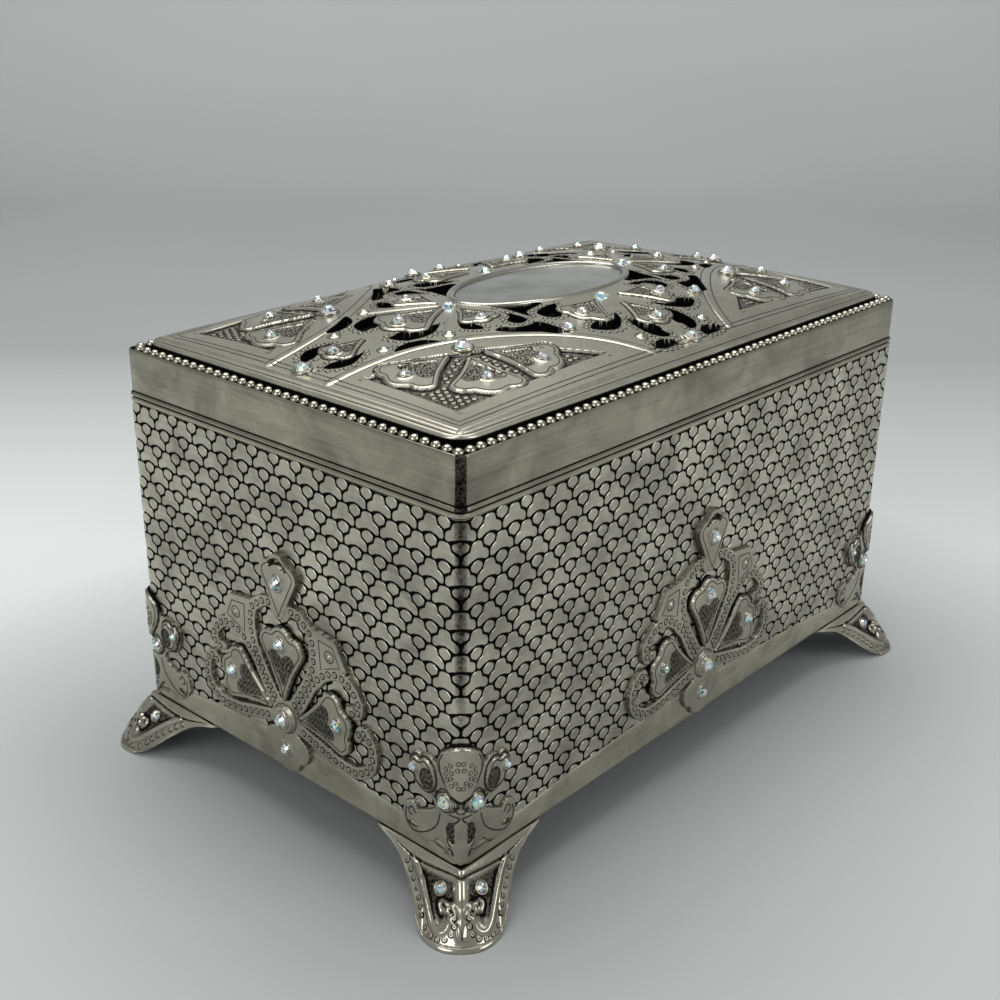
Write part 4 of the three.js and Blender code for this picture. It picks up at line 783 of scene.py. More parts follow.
def snap(x, y, gaps, cell):
    """Moves grid points that lie close to an edge onto it, so that edges come out clean."""
    best = np.full(x.shape, 9.0)
    shift_x, shift_y = np.zeros(x.shape), np.zeros(x.shape)
    for gap in gaps:
        over_y, over_x = np.gradient(gap, y[:, 0], x[0])
        steep = over_x ** 2 + over_y ** 2
        use = (np.abs(gap) < 0.55 * cell) & (np.abs(gap) < np.abs(best)) & (steep > 0.5)
        best = np.where(use, gap, best)
        shift_x = np.where(use, gap * over_x / np.maximum(steep, 0.5), shift_x)
        shift_y = np.where(use, gap * over_y / np.maximum(steep, 0.5), shift_y)
    shift_x[:, 0] = shift_x[:, -1] = 0
    shift_y[0] = shift_y[-1] = 0
    return x - shift_x, y - shift_y


def groove_strips(lines, surface, width=0.3):
    """Narrow strips in mm that follow lines over a surface: blackened grooves."""
    plan, counts = [], []
    for line, closed in lines:
        line = np.asarray(line, float)
        run = np.roll(line, -1, 0) - np.roll(line, 1, 0) if closed else np.gradient(line, axis=0)
        aside = np.column_stack([-run[:, 1], run[:, 0]]) / (np.linalg.norm(run, axis=1)[:, None] + 1e-9)
        edges = [line + aside * width * way for way in (0.5, -0.5)]
        if closed:
            edges = [np.vstack([edge, edge[:1]]) for edge in edges]
        plan += edges
        counts += [len(edge) for edge in edges]
    plan = np.vstack(plan)
    parts = np.split(surface(plan[:, 0], plan[:, 1]), np.cumsum(counts)[:-1])
    return list(zip(parts[0::2], parts[1::2]))


def lay_grooves(name, strips, outward, body):
    """One thin dark inlay made of all the strips."""
    points, faces, start = [], [], 0
    for left, right in strips:
        steps = start + np.arange(len(left) - 1)
        points += [left, right]
        faces.append(np.column_stack([steps + len(left), steps + len(left) + 1, steps + 1, steps]))
        start += 2 * len(left)
    points, faces = np.vstack(points), np.vstack(faces)
    wrong = faces_out(points, faces, outward) < 0
    faces[wrong] = faces[wrong, ::-1]
    set_piece(new_piece(name, points * mm, faces.tolist()), groove_finish, body, "antique_metal")


groove_finish, tree, shader = new_finish("blackened groove", Metallic=0.6, Roughness=0.6)
soot = noise(tree, object_place(tree), 900.0)
sooty = blend_colours(tree, soot, (0.008, 0.007, 0.006, 1), (0.05, 0.047, 0.04, 1))
tree.links.new(sooty, shader.inputs["Base Color"])

rise_above, pivot_height = 44.0, 30.3
medallion_bands = [
    thousandths(
        (68, 95), (105, 145), (189, 273), (243, 380), (264, 498), (243, 605), (189, 652), (141, 680),
        (77, 684), (34, 639),
    ),
    thousandths(
        (77, 68), (105, 91), (180, 209), (232, 295), (280, 343), (314, 380), (361, 411), (414, 434),
        (473, 436), (527, 418), (580, 370), (609, 314), (586, 252), (532, 261),
    ),
    thousandths(
        (77, -14), (189, -43), (275, -64), (339, -80), (398, -95), (457, -102), (516, -107), (575, -102),
        (627, -80), (670, -48), (702, 16), (702, 80), (677, 145), (618, 170), (591, 123),
    ),
]
shoulder_shares = thousandths((250, 650), (436, 627), (468, 573), (520, 477), (405, 432), (273, 368))
shoulder_line = thousandths((310, 600), (420, 590), (470, 490), (380, 455), (320, 430))
finial_half = thousandths(
    (0, 610), (60, 700), (100, 773), (147, 864), (141, 909), (109, 941), (73, 955), (30, 995), (0, 1000),
)
trefoil_half = thousandths(
    (0, -45), (91, -77), (164, -118), (182, -177), (159, -236), (105, -268), (82, -314), (0, -336),
)
band_lines = [smooth_line(band * rise_above, 70) for band in medallion_bands]
shoulder, shoulder_inner = shoulder_shares * rise_above, shoulder_line * rise_above
finial = smooth_line(np.array(whole_outline(finial_half)) * rise_above, 80, closed=True)
trefoil = smooth_line(np.array(whole_outline(trefoil_half)) * rise_above, 70, closed=True)
flat_level, petal_level, hub_rise, petal_root = 1.6, 2.0, 0.9, 4.9
medallion_petals, medallion_stones = [], [(0, 0, 1.95), (0, 36.6, 1.75), (0, -8.6, 1.6)]
for degrees in (90, 18, 162):
    forth = np.array([math.cos(math.radians(degrees)), math.sin(math.radians(degrees))])
    medallion_petals.append((petal_root * forth, degrees, 1.0))
    medallion_stones.append((*(petal_root + petal_stone) * forth, 1.65))


def medallion_gaps(u, v):
    """Distances from the bands, the shoulder, the finial, the trefoil and the hub."""
    bands = [(gap, along) for gap, along in (line_gap(line, u, v) for line in band_lines)]
    band_gap = np.min([gap - 1.75 * (1 - 0.3 * along ** 2) for gap, along in bands], axis=0)
    shapes = [edge_gap(outline, u, v) for outline in (shoulder, finial, trefoil)]
    return band_gap, *shapes, np.hypot(u, v) - 5.4


def cast_plate(gap, level, brightness=0.55, rub=0.1):
    """Height and shine of a plate at a level, from the distance to its outline."""
    height = -0.6 + (level + 0.45) * rise(-gap, -0.12, 0) + 0.15 * rise(-gap, 0, 0.25)
    return height, 0.4 + brightness * rise(-gap, -0.05, rub)


def medallion_relief(u, v):
    """Height, shine and distance from the casting's outline on the right half of a medallion."""
    band_gap, shoulder_gap, finial_gap, trefoil_gap, hub_gap = medallion_gaps(u, v)
    flat_gap = np.minimum.reduce([band_gap, shoulder_gap, trefoil_gap, hub_gap])
    height, shine = cast_plate(flat_gap, flat_level)
    height += 0.6 * (1 - rise(np.hypot(u - medallion_bead[0], v - medallion_bead[1]), 0.2, 1.2))
    finial_height, finial_shine = cast_plate(finial_gap, petal_level, rub=0.15)
    on_finial = finial_gap < 0.25
    height = np.where(on_finial, np.maximum(height, finial_height), height)
    shine = np.where(on_finial, np.maximum(shine, finial_shine), shine)
    arch = np.abs(np.hypot(u, v - 38.6) - 3.4)
    pierced = (1 - rise(arch, 0.35, 0.7)) * rise(v, 40.2, 40.9)
    height -= 3.0 * pierced
    shine -= 1.2 * pierced
    union = np.minimum(flat_gap, finial_gap)
    for petal in medallion_petals[:2]:
        ground = flat_level - 0.8
        height, shine, gap = raise_petal(height, shine, u, v, petal, ground, petal_level - flat_level + 0.8)
        union = np.minimum(union, gap)
    on_hub = np.hypot(u, v) < 3.7
    height = np.where(on_hub, flat_level + hub_rise * (1 - rise(np.hypot(u, v), 3.3, 3.7)), height)
    shine = np.where(on_hub, 0.9, shine)
    for stone in medallion_stones[:5]:
        height, shine = seat_stone(height, shine, u, v, stone)
    return height, np.clip(shine, 0, 1), union


def mirror_columns(half, sign=1):
    """The whole width of a grid whose right half starts on its middle line."""
    return np.concatenate([half[:, :0:-1] * sign, half], axis=1)


def kept_cells(gap, limit):
    """Cells with a corner that lies on the casting."""
    corners = np.minimum.reduce([gap[:-1, :-1], gap[:-1, 1:], gap[1:, :-1], gap[1:, 1:]])
    return corners < limit


def petal_outlines(petals):
    return [petal_lines(*petal)[0] for petal in petals]


def clear_spots(spots, outlines, room):
    """The spots that keep their distance from outlines."""
    x, y = spots[:, 0], spots[:, 1]
    return spots[np.min([edge_gap(outline, x, y) for outline in outlines], axis=0) > room]


def petal_grooves(petals, apart, ends):
    """Grooves outside each petal, inside it and round its punched heart."""
    grooves = []
    for petal in petals:
        outline, inner, pad = petal_lines(*petal)
        grooves += [(drawn_in(outline, -apart)[ends:-ends], False), (inner, True), (pad, True)]
    return grooves


medallion_bead = (17.2, 23.2)
cell = 0.27
u, v = np.meshgrid(np.arange(0, 33.6, cell), np.arange(-15.4, 44.7, cell))
band_gap, shoulder_gap, finial_gap, trefoil_gap, hub_gap = medallion_gaps(u, v)
edges = [np.minimum.reduce([band_gap, shoulder_gap, trefoil_gap, hub_gap]), finial_gap]
edges += [edge_gap(outline, u, v) for outline in petal_outlines(medallion_petals[:2])]
u, v = snap(u, v, edges, cell)
height, shine, union = medallion_relief(u, v)
whole_u, whole_v = mirror_columns(u, -1), mirror_columns(v)
whole_height, whole_shine = mirror_columns(height), mirror_columns(shine)
kept = kept_cells(mirror_columns(union), 0.3)

circle = np.linspace(0, 2 * math.pi, 40, endpoint=False)
circle = np.column_stack([np.cos(circle), np.sin(circle)])
medallion_lines = petal_grooves(medallion_petals, 0.2, 6) + [(drawn_in(finial, 1.1), True)]
for way in (-1, 1):
    medallion_lines.append((np.vstack([shoulder_inner, shoulder_inner[:1]]) * (way, 1), False))
    medallion_lines.append((circle * 1.5 + (way * medallion_bead[0], medallion_bead[1]), True))
medallion_lines.append((circle * 3.95, True))
band_dots = np.vstack([spaced(line, 2.3) for line in band_lines])
band_dots = clear_spots(band_dots, petal_outlines(medallion_petals) + [finial], 0.5)
band_dots = band_dots[np.hypot(band_dots[:, 0], band_dots[:, 1]) > 5.0]
casting_finish = metal_finish(
    "rubbed relief casting", (0.42, 0.398, 0.325), nickel_low, 0.28, 0.4, 0.1, cast_relief,
)
sides = [("front", box_width), ("right", box_length), ("back", box_width), ("left", box_length)]
for quarter, (name, across_box) in enumerate(sides):
    turn, distance = quarter * right_angle, across_box / 2
    along, up = np.array([math.cos(turn), math.sin(turn), 0]), np.array([0, 0, 1])
    out = np.array([math.sin(turn), -math.cos(turn), 0])

    def on_side(u, v, height):
        """A medallion's place on this side of the box."""
        u, v, height = (np.asarray(value, float)[..., None] for value in (u, v, height))
        return u * along + (distance + height) * out + (v + pivot_height) * up

    def on_medallion(u, v):
        return on_side(u, v, medallion_relief(np.abs(u), v)[0] + 0.03)

    points = on_side(whole_u, whole_v, whole_height)
    medallion = cast_sheet(f"side_medallion_{name}", points, whole_shine, kept, outward=out, crisp=50)
    set_piece(medallion, casting_finish, "case", "antique_metal", f"medallion_{name}")
    strips = groove_strips(medallion_lines, on_medallion, 0.26)
    lay_grooves(f"medallion_grooves_{name}", strips, out, "case")
    for du, dv in band_dots:
        for way in (-1, 1):
            ring_places["case"].append((on_side(du * way, dv, flat_level), out, 0.9))
    for cu, cv, radius in medallion_stones:
        level = flat_level + hub_rise if (cu, cv) == (0, 0) else petal_level
        spot = on_side(cu, cv, level if cv > -5 else flat_level)
        crystal_places["case"].append((spot, out, radius))


# Corner ornaments: four castings wrapped round the lower corners, each with a shield, two punched petals, two
# large stones like berries, curled wings and a small punched fan that ends in a tip.
ornament_height, ornament_foot = 31.2, 15.3
ornament_outline = thousandths(
    (0, 1000), (93, 984), (198, 907), (233, 837), (240, 780), (294, 812), (361, 812), (393, 789),
    (438, 808), (498, 760), (514, 687), (489, 613), (466, 550), (393, 502), (313, 489), (262, 454),
    (252, 403), (335, 351), (438, 307), (454, 345), (489, 367), (550, 335), (572, 304), (588, 208),
    (543, 137), (454, 73), (361, 70), (281, 105), (220, 163), (173, 137), (115, 70), (58, 19), (0, 0),
)
shield_outline = thousandths(
    (0, 987), (83, 968), (185, 905), (214, 841), (208, 764), (165, 684), (86, 588), (20, 545), (0, 540),
)
corner_petal = thousandths(
    (246, 601), (256, 716), (307, 780), (361, 783), (396, 757), (441, 773), (479, 735), (489, 681),
    (460, 613), (441, 562), (383, 527), (307, 521),
)
ornament_stones = [(3.3, 15.6, 1.8), (12.3, 21.4, 1.1)]


def set_back(points):
    """Points traced in the plane of the wall, moved towards the corner by what the casting stands proud."""
    points = np.asarray(points, float)
    along, height = points.T
    return np.column_stack([np.where(along < 4, 0.62 * along, along - 1.52), height])


def past_the_corner(shares):
    """An outline that starts and ends on the corner, carried past it so that it stays open there."""
    points = np.array([(-0.15, shares[0][1])] + list(shares) + [(-0.15, shares[-1][1])]) * ornament_height
    return set_back(points)


petal = smooth_line(set_back(corner_petal * ornament_height), 60, closed=True)


def ornament_gaps(d, h):
    """Distances from the casting's outline, the shield, the petal and the pierced eye."""
    body, shield = (edge_gap(past_the_corner(shares), d, h) for shares in (ornament_outline, shield_outline))
    eye = (np.hypot((d - 13.3) / 1.6, (h - 5.2) / 0.7) - 1) * 0.8
    return body, shield, edge_gap(petal, d, h), eye


def ornament_relief(d, h):
    """Height, shine and distance from the outline of one side of a corner ornament."""
    body_gap, shield_gap, petal_gap, eye_gap = ornament_gaps(d, h)
    flat, raised = 1.15, 1.75
    height, shine = cast_plate(body_gap, flat, 0.5)
    for gap in (shield_gap, petal_gap):
        height = np.where(gap < 0, flat + (raised - flat) * rise(-gap, 0, 0.35), height)
        shine = np.where(gap < 0, 0.5 + 0.45 * rise(-gap, 0, 0.3), shine - 0.75 * (1 - rise(gap, 0.35, 0.75)))
    hatch = stipple(d * 1.2, h * 1.2)
    drop = np.hypot((d - 8.4) / 0.95, (h - 19.6) / 1.25)
    fan = np.hypot(d, h - 8.2)
    for punched in (1 - rise(drop, 1.9, 2.2), (1 - rise(fan, 3.1, 3.4)) * rise(d, 0.9, 1.2)):
        height = height - punched * (0.28 - 0.1 * hatch)
        shine = shine - punched * (0.6 - 0.25 * hatch)
    socket = 1 - rise(np.hypot((d - 3.3) / 1.15, (h - 15.6) / 0.9) - 2.7, 0, 0.4)
    height = height - 0.35 * socket
    shine = shine - 0.6 * socket
    for stone in ornament_stones:
        height, shine = seat_stone(height, shine, d, h, stone)
    pit = 1 - rise(eye_gap, -0.3, 0.02)
    return height - 2.4 * pit, np.clip(shine - 1.2 * pit, 0, 1), body_gap


cell = 0.24
d, h = np.meshgrid(np.arange(0, 19.0, cell), np.arange(-0.5, 31.9, cell))
d, h = snap(d, h, ornament_gaps(d, h), cell)
height, shine, body_gap = ornament_relief(d, h)
kept = kept_cells(body_gap, 0.3)


def beside_the_corner(distance, proud):
    """Plan place on one face, a way from the middle of the rounded corner of a box in x < 0, y < 0."""
    angle = np.where(distance < quarter_arc / 2, (1 - distance / (quarter_arc / 2)) * math.pi / 4, 0)
    reach = corner_turn + proud
    x = -corner_turn + reach * np.cos(angle)
    y = -corner_turn + reach * np.sin(angle) - np.maximum(distance - quarter_arc / 2, 0)
    return x, y


x, y = beside_the_corner(d, height)
one_side, other_side = np.stack([x, y, h + ornament_foot], -1), np.stack([y, x, h + ornament_foot], -1)
both_sides = np.concatenate([other_side[:, :0:-1], one_side], axis=1)
both_shine, both_kept = mirror_columns(shine), np.concatenate([kept[:, ::-1], kept], axis=1)
shield_line = set_back(shield_outline[1:-1] * ornament_height)
traced_lines = [
    [(0.2, 12.6), (3.0, 13.0), (6.4, 13.3), (8.6, 16.2)],
    [(0.2, 13.6), (1.6, 14.4), (2.0, 16.2), (3.4, 18.2), (5.6, 18.8), (8.0, 16.6)],
    [(0.2, 12.4), (4.0, 8.4), (4.0, 5.6), (2.6, 4.6)],
    [(6.2, 12.0), (7.1, 8.9), (8.8, 6.6), (11.3, 4.7), (14.2, 3.6), (16.3, 4.6), (17.2, 6.6), (16.9, 9.0)],
    [(14.0, 8.3), (15.0, 9.6), (16.1, 8.9), (15.9, 7.6), (15.0, 7.6)],
    [(2.0, 2.4), (2.6, 3.8), (3.9, 3.6)],
]
ornament_lines = [(smooth_line(set_back(line), 36), False) for line in traced_lines]
ornament_lines += [
    (shield_line + (0.3, -0.1), False), (shield_line - (0.8, 0.2), False),
    (drawn_in(petal, -0.2), True), (drawn_in(petal, 0.75), True), (circle * (1.9, 2.5) + (8.4, 19.6), True),
]
dots_traced = [
    (2.0, 26.9), (3.3, 26.1), (4.2, 24.9), (4.4, 23.5), (3.9, 22.2), (3.1, 21.1), (2.1, 25.2), (3.1, 24.3),
    (3.2, 22.9), (2.4, 21.9), (1.7, 20.6),
]
ornament_dots = [(max(0.85 * x - 1.35, 0.3), y) for x, y in dots_traced]
for quarter, name in enumerate(corner_names):
    spin, corner = at_corner(quarter)
    points = both_sides @ spin.T + corner
    ornament = cast_sheet(
        f"corner_casting_{name}", points, both_shine, both_kept, outward=from_the_middle, crisp=50,
    )
    set_piece(ornament, casting_finish, "case", "antique_metal", f"corner_ornament_{name}")

    def on_corner(d, h, swap=False, lift=0.03):
        """A place on this ornament, on one face or the other."""
        x, y = beside_the_corner(np.abs(d), ornament_relief(np.abs(d), h)[0] + lift)
        plan = (y, x) if swap else (x, y)
        return np.stack([*plan, h + ornament_foot], -1) @ spin.T + corner

    def on_other_face(d, h):
        return on_corner(d, h, True)

    strips = groove_strips(ornament_lines, on_corner, 0.36)
    strips += groove_strips(ornament_lines, on_other_face, 0.36)
    lay_grooves(f"corner_grooves_{name}", strips, from_the_middle, "case")
    for swap in (False, True):
        for cd, ch in ornament_dots:
            spot = on_corner(np.array([cd]), np.array([ch]), swap, 0)[0]
            lean_in = max(1 - cd / (quarter_arc / 2), 0) * math.pi / 4
            way = [math.cos(lean_in), math.sin(lean_in)]
            ring_places["case"].append((spot, spin @ np.array([*way[::-1 if swap else 1], 0]), 0.58))
        out = spin @ np.array([0.0, 1.0, 0] if swap else [1.0, 0, 0])
        for cd, ch, radius in ornament_stones:
            spot = on_corner(np.array([cd]), np.array([ch]), swap, -0.1)[0]
            crystal_places["case"].append((spot, out, radius))


# Velvet lining: a card tray covered in wine red velvet, with a deep compartment on the right and a ledge on
# the left that carries the cover board over the movement.
velvet_finish, tree, shader = new_finish("wine velvet", Roughness=0.9, Sheen_Weight=1.0, Sheen_Roughness=0.35)
shader.inputs["Sheen Tint"].default_value = (0.75, 0.25, 0.32, 1)
shader.inputs["Specular IOR Level"].default_value = 0.15
place = object_place(tree)
crushed = noise(tree, place, 60.0, Detail=4.0, Distortion=1.2)
pile = noise(tree, place, 2600.0, Detail=2.0)
tone = blend_colours(tree, ramp(tree, crushed, 0.3, 0.7), (0.10, 0.004, 0.014, 1), (0.21, 0.012, 0.032, 1))
tone = blend_colours(tree, calc(tree, "MULTIPLY", pile, 0.35), tone, (0.05, 0.002, 0.006, 1))
bump = node(tree, "Bump", Strength=0.7, Distance=0.00025, Height=pile).outputs["Normal"]
tree.links.new(tone, shader.inputs["Base Color"])
tree.links.new(bump, shader.inputs["Normal"])


def cut_block(name, low, high):
    """A block between two corners in mm, with its place in its mesh."""
    low, high = Vector(low) * mm, Vector(high) * mm
    bpy.ops.mesh.primitive_cube_add(size=1)
    block = bpy.context.object
    block.name = name
    for vertex in block.data.vertices:
        vertex.co = (low + high) / 2 + vertex.co * (high - low)
    return block


def cut_away(piece, cutters):
    """Takes the cutters out of a piece, and the cutters go."""
    for cutter in cutters:
        cut = piece.modifiers.new("cut", "BOOLEAN")
        cut.operation = "DIFFERENCE"
        cut.solver = "EXACT"
        cut.object = cutter
        pick(piece)
        bpy.ops.object.modifier_apply(modifier=cut.name)
        bpy.data.objects.remove(cutter)


def round_edges(piece, width):
    """Rounds the edges of a piece and smooths it."""
    bevel = piece.modifiers.new("rounding", "BEVEL")
    bevel.width = width * mm
    bevel.segments = 3
    bevel.limit_method = "ANGLE"
    bevel.angle_limit = math.radians(30)
    pick(piece)
    bpy.ops.object.modifier_apply(modifier=bevel.name)
    crisp_edges(piece, 40)


tray = cut_block("velvet_tray", (-89.2, -54.9, 22.2), (89.2, 54.9, 96.7))
deep = cut_block("deep", (-30.5, -53.3, 24.3), (87.5, 53.3, 99))
bay = cut_block("bay", (-87.5, -53.3, 46.1), (-33.5, 53.3, 99))
below = cut_block("below", (-84.4, -50.2, 20), (-36.6, 50.2, 48))
cut_away(tray, [deep, bay, below])
round_edges(tray, 0.7)
set_piece(tray, velvet_finish, "case", "velvet", "lining_tray")


# Cover board: a velvet-covered card that drops onto the ledge over the movement, with a hole for the
# stop rod.
board = cut_block("velvet_board", (-87.1, -52.9, 46.4), (-33.9, 52.9, 48.2))
rod_place = (-0.081, 0.0465, 0.0473)
bpy.ops.mesh.primitive_cylinder_add(vertices=24, radius=2.1 * mm, depth=8 * mm, location=rod_place)
cut_away(board, [bpy.context.object])
round_edges(board, 0.6)
set_piece(board, velvet_finish, "case", "velvet", "cover_board")


# Ring rolls: four stuffed velvet rolls glued side by side on the board, so that rings push in between them.
def stuff(piece):
    """Rounds a padded piece with one level of subdivision and smooths it."""
    pick(piece)
    smooth = piece.modifiers.new("stuffing", "SUBSURF")
    smooth.levels = smooth.render_levels = 1
    bpy.ops.object.modifier_apply(modifier=smooth.name)
    piece.data.shade_smooth()


roll_girth, roll_level, roll_middle, roll_half = 5.9, 54.5, -4.2, 48.5
for number in range(1, 5):
    bpy.ops.mesh.primitive_cylinder_add(vertices=32, radius=1, depth=2, end_fill_type="TRIFAN")
    roll = bpy.context.object
    roll.name = f"velvet_roll_{number}"
    open_up(roll)
    bpy.ops.mesh.subdivide(number_cuts=5)
    close_up()
    low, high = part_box(f"ring_roll_{number}")
    middle = (low.x + high.x) / 2 / mm
    for vertex in roll.data.vertices:
        along = vertex.co.z
        around = math.atan2(vertex.co.y, vertex.co.x)
        reach = min(math.hypot(vertex.co.x, vertex.co.y), 1)
        pinch = 0.45 * max(abs(along) - 0.9, 0) / 0.1 * (0.4 + 0.6 * reach)
        girth = roll_girth * (1 - pinch) * (1 + 0.012 * math.sin(19 * along + 3 * around))
        height = reach * girth * math.sin(around)
        height = max(height, -5.2 + 0.1 * height)
        end = math.copysign(min(abs(along), 1) - 0.02 * (1 - reach), along)
        x = middle + reach * girth * math.cos(around)
        vertex.co = (x * mm, (roll_middle + roll_half * end) * mm, (roll_level + height) * mm)
    set_piece(roll, velvet_finish, "case", "velvet", f"ring_roll_{number}")
    stuff(roll)


# Movement, base plate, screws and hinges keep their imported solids: brass plate and wheels, steel arbors, comb
# and screws, a blackened base plate, and a pressed key of bright nickel.
brass_finish = metal_finish("lacquered brass", (0.62, 0.44, 0.17), (0.10, 0.06, 0.02), 0.24, 0.25, 0.35)
steel_finish = metal_finish("turned steel", (0.46, 0.47, 0.48), (0.05, 0.05, 0.05), 0.25, 0.2, 0.5)
plate_finish = metal_finish("blackened plate", (0.055, 0.052, 0.047), (0.02, 0.02, 0.02), 0.5, 0.4, 0.2)
bright_finish = metal_finish("bright nickel", (0.56, 0.53, 0.47), nickel_low, 0.16, 0.25, 0.3)
hinge_finish = metal_finish("hinge nickel", (0.42, 0.40, 0.35), nickel_low, 0.35, 0.4, 0.3)
for finish, names in [
    (plate_finish, "base_plate lid_backing"),
    (brass_finish, "movement_bedplate drive_wheel spring_barrel pinned_cylinder cylinder_pinion"),
    (brass_finish, "cylinder_wheel governor_fan"),
    (steel_finish, "base_screw_1 base_screw_2 base_screw_3 base_screw_4 bedplate_screw_1 bedplate_screw_2"),
    (steel_finish, "comb comb_screw_1 comb_screw_2 winding_arbor mainspring cylinder_arbor governor_arbor"),
    (steel_finish, "stop_rod hinge_pin_left hinge_pin_right"),
    (bright_finish, "winding_key"),
    (hinge_finish, "hinge_case_leaf_left hinge_case_leaf_right hinge_lid_leaf_left hinge_lid_leaf_right"),
]:
    for name in names.split():
        dress(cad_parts[name], finish)


# Lid band: the cast frame of the lid, brushed along its length, with a bead on its lower edge and a blackened
# channel on top for the row of beads. Its rounded corners carry a painted dark reflection.
turn_steps, side_steps = 9, 14
quarter_points = turn_steps + side_steps


def frame_outline(inset):
    """Plan of the lid's outline a way inside the box, with the same count of points for every inset."""
    turn = max(corner_turn - inset, 0.3)
    x, y = box_length / 2 - inset - turn, box_width / 2 - inset - turn
    points, centres = [], np.array([(x, y), (-x, y), (-x, -y), (x, -y)])
    for quarter, centre in enumerate(centres):
        for step in range(turn_steps + 1):
            angle = (quarter + step / turn_steps) * math.pi / 2
            edge = turn * np.array([math.cos(angle), math.sin(angle)])
            points.append(centre + edge)
        for step in range(1, side_steps):
            points.append(centre + (centres[(quarter + 1) % 4] - centre) * (step / side_steps) + edge)
    return np.array(points)


band_profile = [
    (2.2, 100.1, 0.3), (0.5, 100.1, 0.3), (0.0, 100.12, 0.3), (-0.3, 100.25, 0.9), (-0.48, 100.5, 1),
    (-0.5, 100.7, 1), (-0.46, 100.95, 1), (-0.25, 101.15, 0.7), (0.08, 101.28, 0.1), (0.1, 101.45, 0.1),
    (0.0, 101.65, 0.8), (0.0, 102.2, 0.95), (0.0, 104.5, 0.95), (0.0, 107, 0.95), (0.0, 109.5, 0.95),
    (0.0, 111.7, 1), (0.06, 112.05, 1), (0.22, 112.26, 1), (0.4, 112.28, 0.9), (0.5, 112.1, 0.4),
    (0.52, 111.6, 0.05), (0.55, 110.8, 0.0), (0.8, 110.7, 0.0), (3.45, 110.7, 0.0), (7.05, 110.7, 0.2),
    (7.05, 109.1, 0.3), (2.2, 109.1, 0.3), (2.2, 104.0, 0.3),
]
band_points = 4 * quarter_points
loops = []
for inset, height, _ in band_profile:
    loops.append(np.column_stack([frame_outline(inset), np.full(band_points, height)]))
relief = in_rows([shine for _, _, shine in band_profile + band_profile[:1]], band_points)
# Painted dark reflection: the points on the band's rounded corners keep 0.3 of their shine.
on_the_turn = np.arange(band_points) % quarter_points
relief[:, (on_the_turn > 1) & (on_the_turn < 8)] *= 0.3
band = cast_sheet("lid_band", np.array(loops + loops[:1]), relief, closed=True)
open_up(band)
bpy.ops.mesh.remove_doubles(threshold=0.01 * mm)
bpy.ops.mesh.normals_make_consistent(inside=False)
close_up()
crisp_edges(band, 50)
lid_band_finish = metal_finish(
    "brushed lid band", (0.34, 0.322, 0.256), nickel_low, 0.28, 0.45, 0.2, cast_relief,
)
set_piece(band, lid_band_finish, "lid", "antique_metal", "lid_frame")


# Bead row: one bead on each step of a strip of bead wire that is laid in the channel of the lid band.
def set_copies(model, name, places, smooth=True):
    """One piece made of a copy of the model at every place; the model goes. Faces are sorted by where they
    lie, because their own order can change from run to run, and the colours of the stones follow it."""
    corners = mesh_values(model.data.vertices, "co", 3)
    faces = [tuple(polygon.vertices) for polygon in model.data.polygons]
    faces.sort(key=lambda face: sorted(corners[list(face)].tolist()))
    points, all_faces, shines = [], [], None
    for place in places:
        matrix = np.array(place)
        start = len(corners) * len(points)
        points.append(corners @ matrix[:3, :3].T + matrix[:3, 3])
        all_faces += [tuple(corner + start for corner in face) for face in faces]
    if "relief" in model.data.attributes:
        shines = np.tile(mesh_values(model.data.attributes["relief"].data, "value").ravel(), len(places))
    bpy.data.objects.remove(model)
    return new_piece(name, np.vstack(points), all_faces, shines, smooth)


bead_inset, bead_pitch, bead_level = 1.9, 3.1, 112.0
bpy.ops.mesh.primitive_uv_sphere_add(segments=12, ring_count=8, radius=1.3 * mm)
bead = bpy.context.object
open_up(bead)
bpy.ops.transform.resize(value=(1, 1, 0.97))
close_up()
bead_line = frame_outline(bead_inset)
bead_spots = spaced(np.vstack([bead_line, bead_line[:1]]), bead_pitch)
bead_places = [Matrix.Translation((x * mm, y * mm, bead_level * mm)) for x, y in bead_spots]
beads = set_copies(bead, "bead_row", bead_places)
bead_finish = metal_finish("rubbed beads", (0.42, 0.40, 0.33), nickel_low, 0.16, 0.3, 0.1)
set_piece(beads, bead_finish, "lid", "antique_metal", "beaded_rim")


# Lid top: a low dome cast in one, pierced round its heart petals, with arc bands, four sunk corner fans on a
# ground of rings, and a plain border with fine lines.
top_length, top_width, top_edge = 88.3, 54.05, 114.3


def dome(x, y):
    """Height of the plain dome over the plan, with its rounded edge and the step inside it."""
    inside = np.minimum(top_length - np.abs(x), top_width - np.abs(y))
    along = 1 - np.clip(np.abs(x) / top_length, 0, 1) ** 2.5
    across = 1 - np.clip(np.abs(y) / top_width, 0, 1) ** 2.5
    edge = 0.6 * rise(inside, 2.2, 2.7) - 0.7 * (1 - rise(inside, -0.3, 0.7))
    return top_edge + edge + 8.6 * along * across


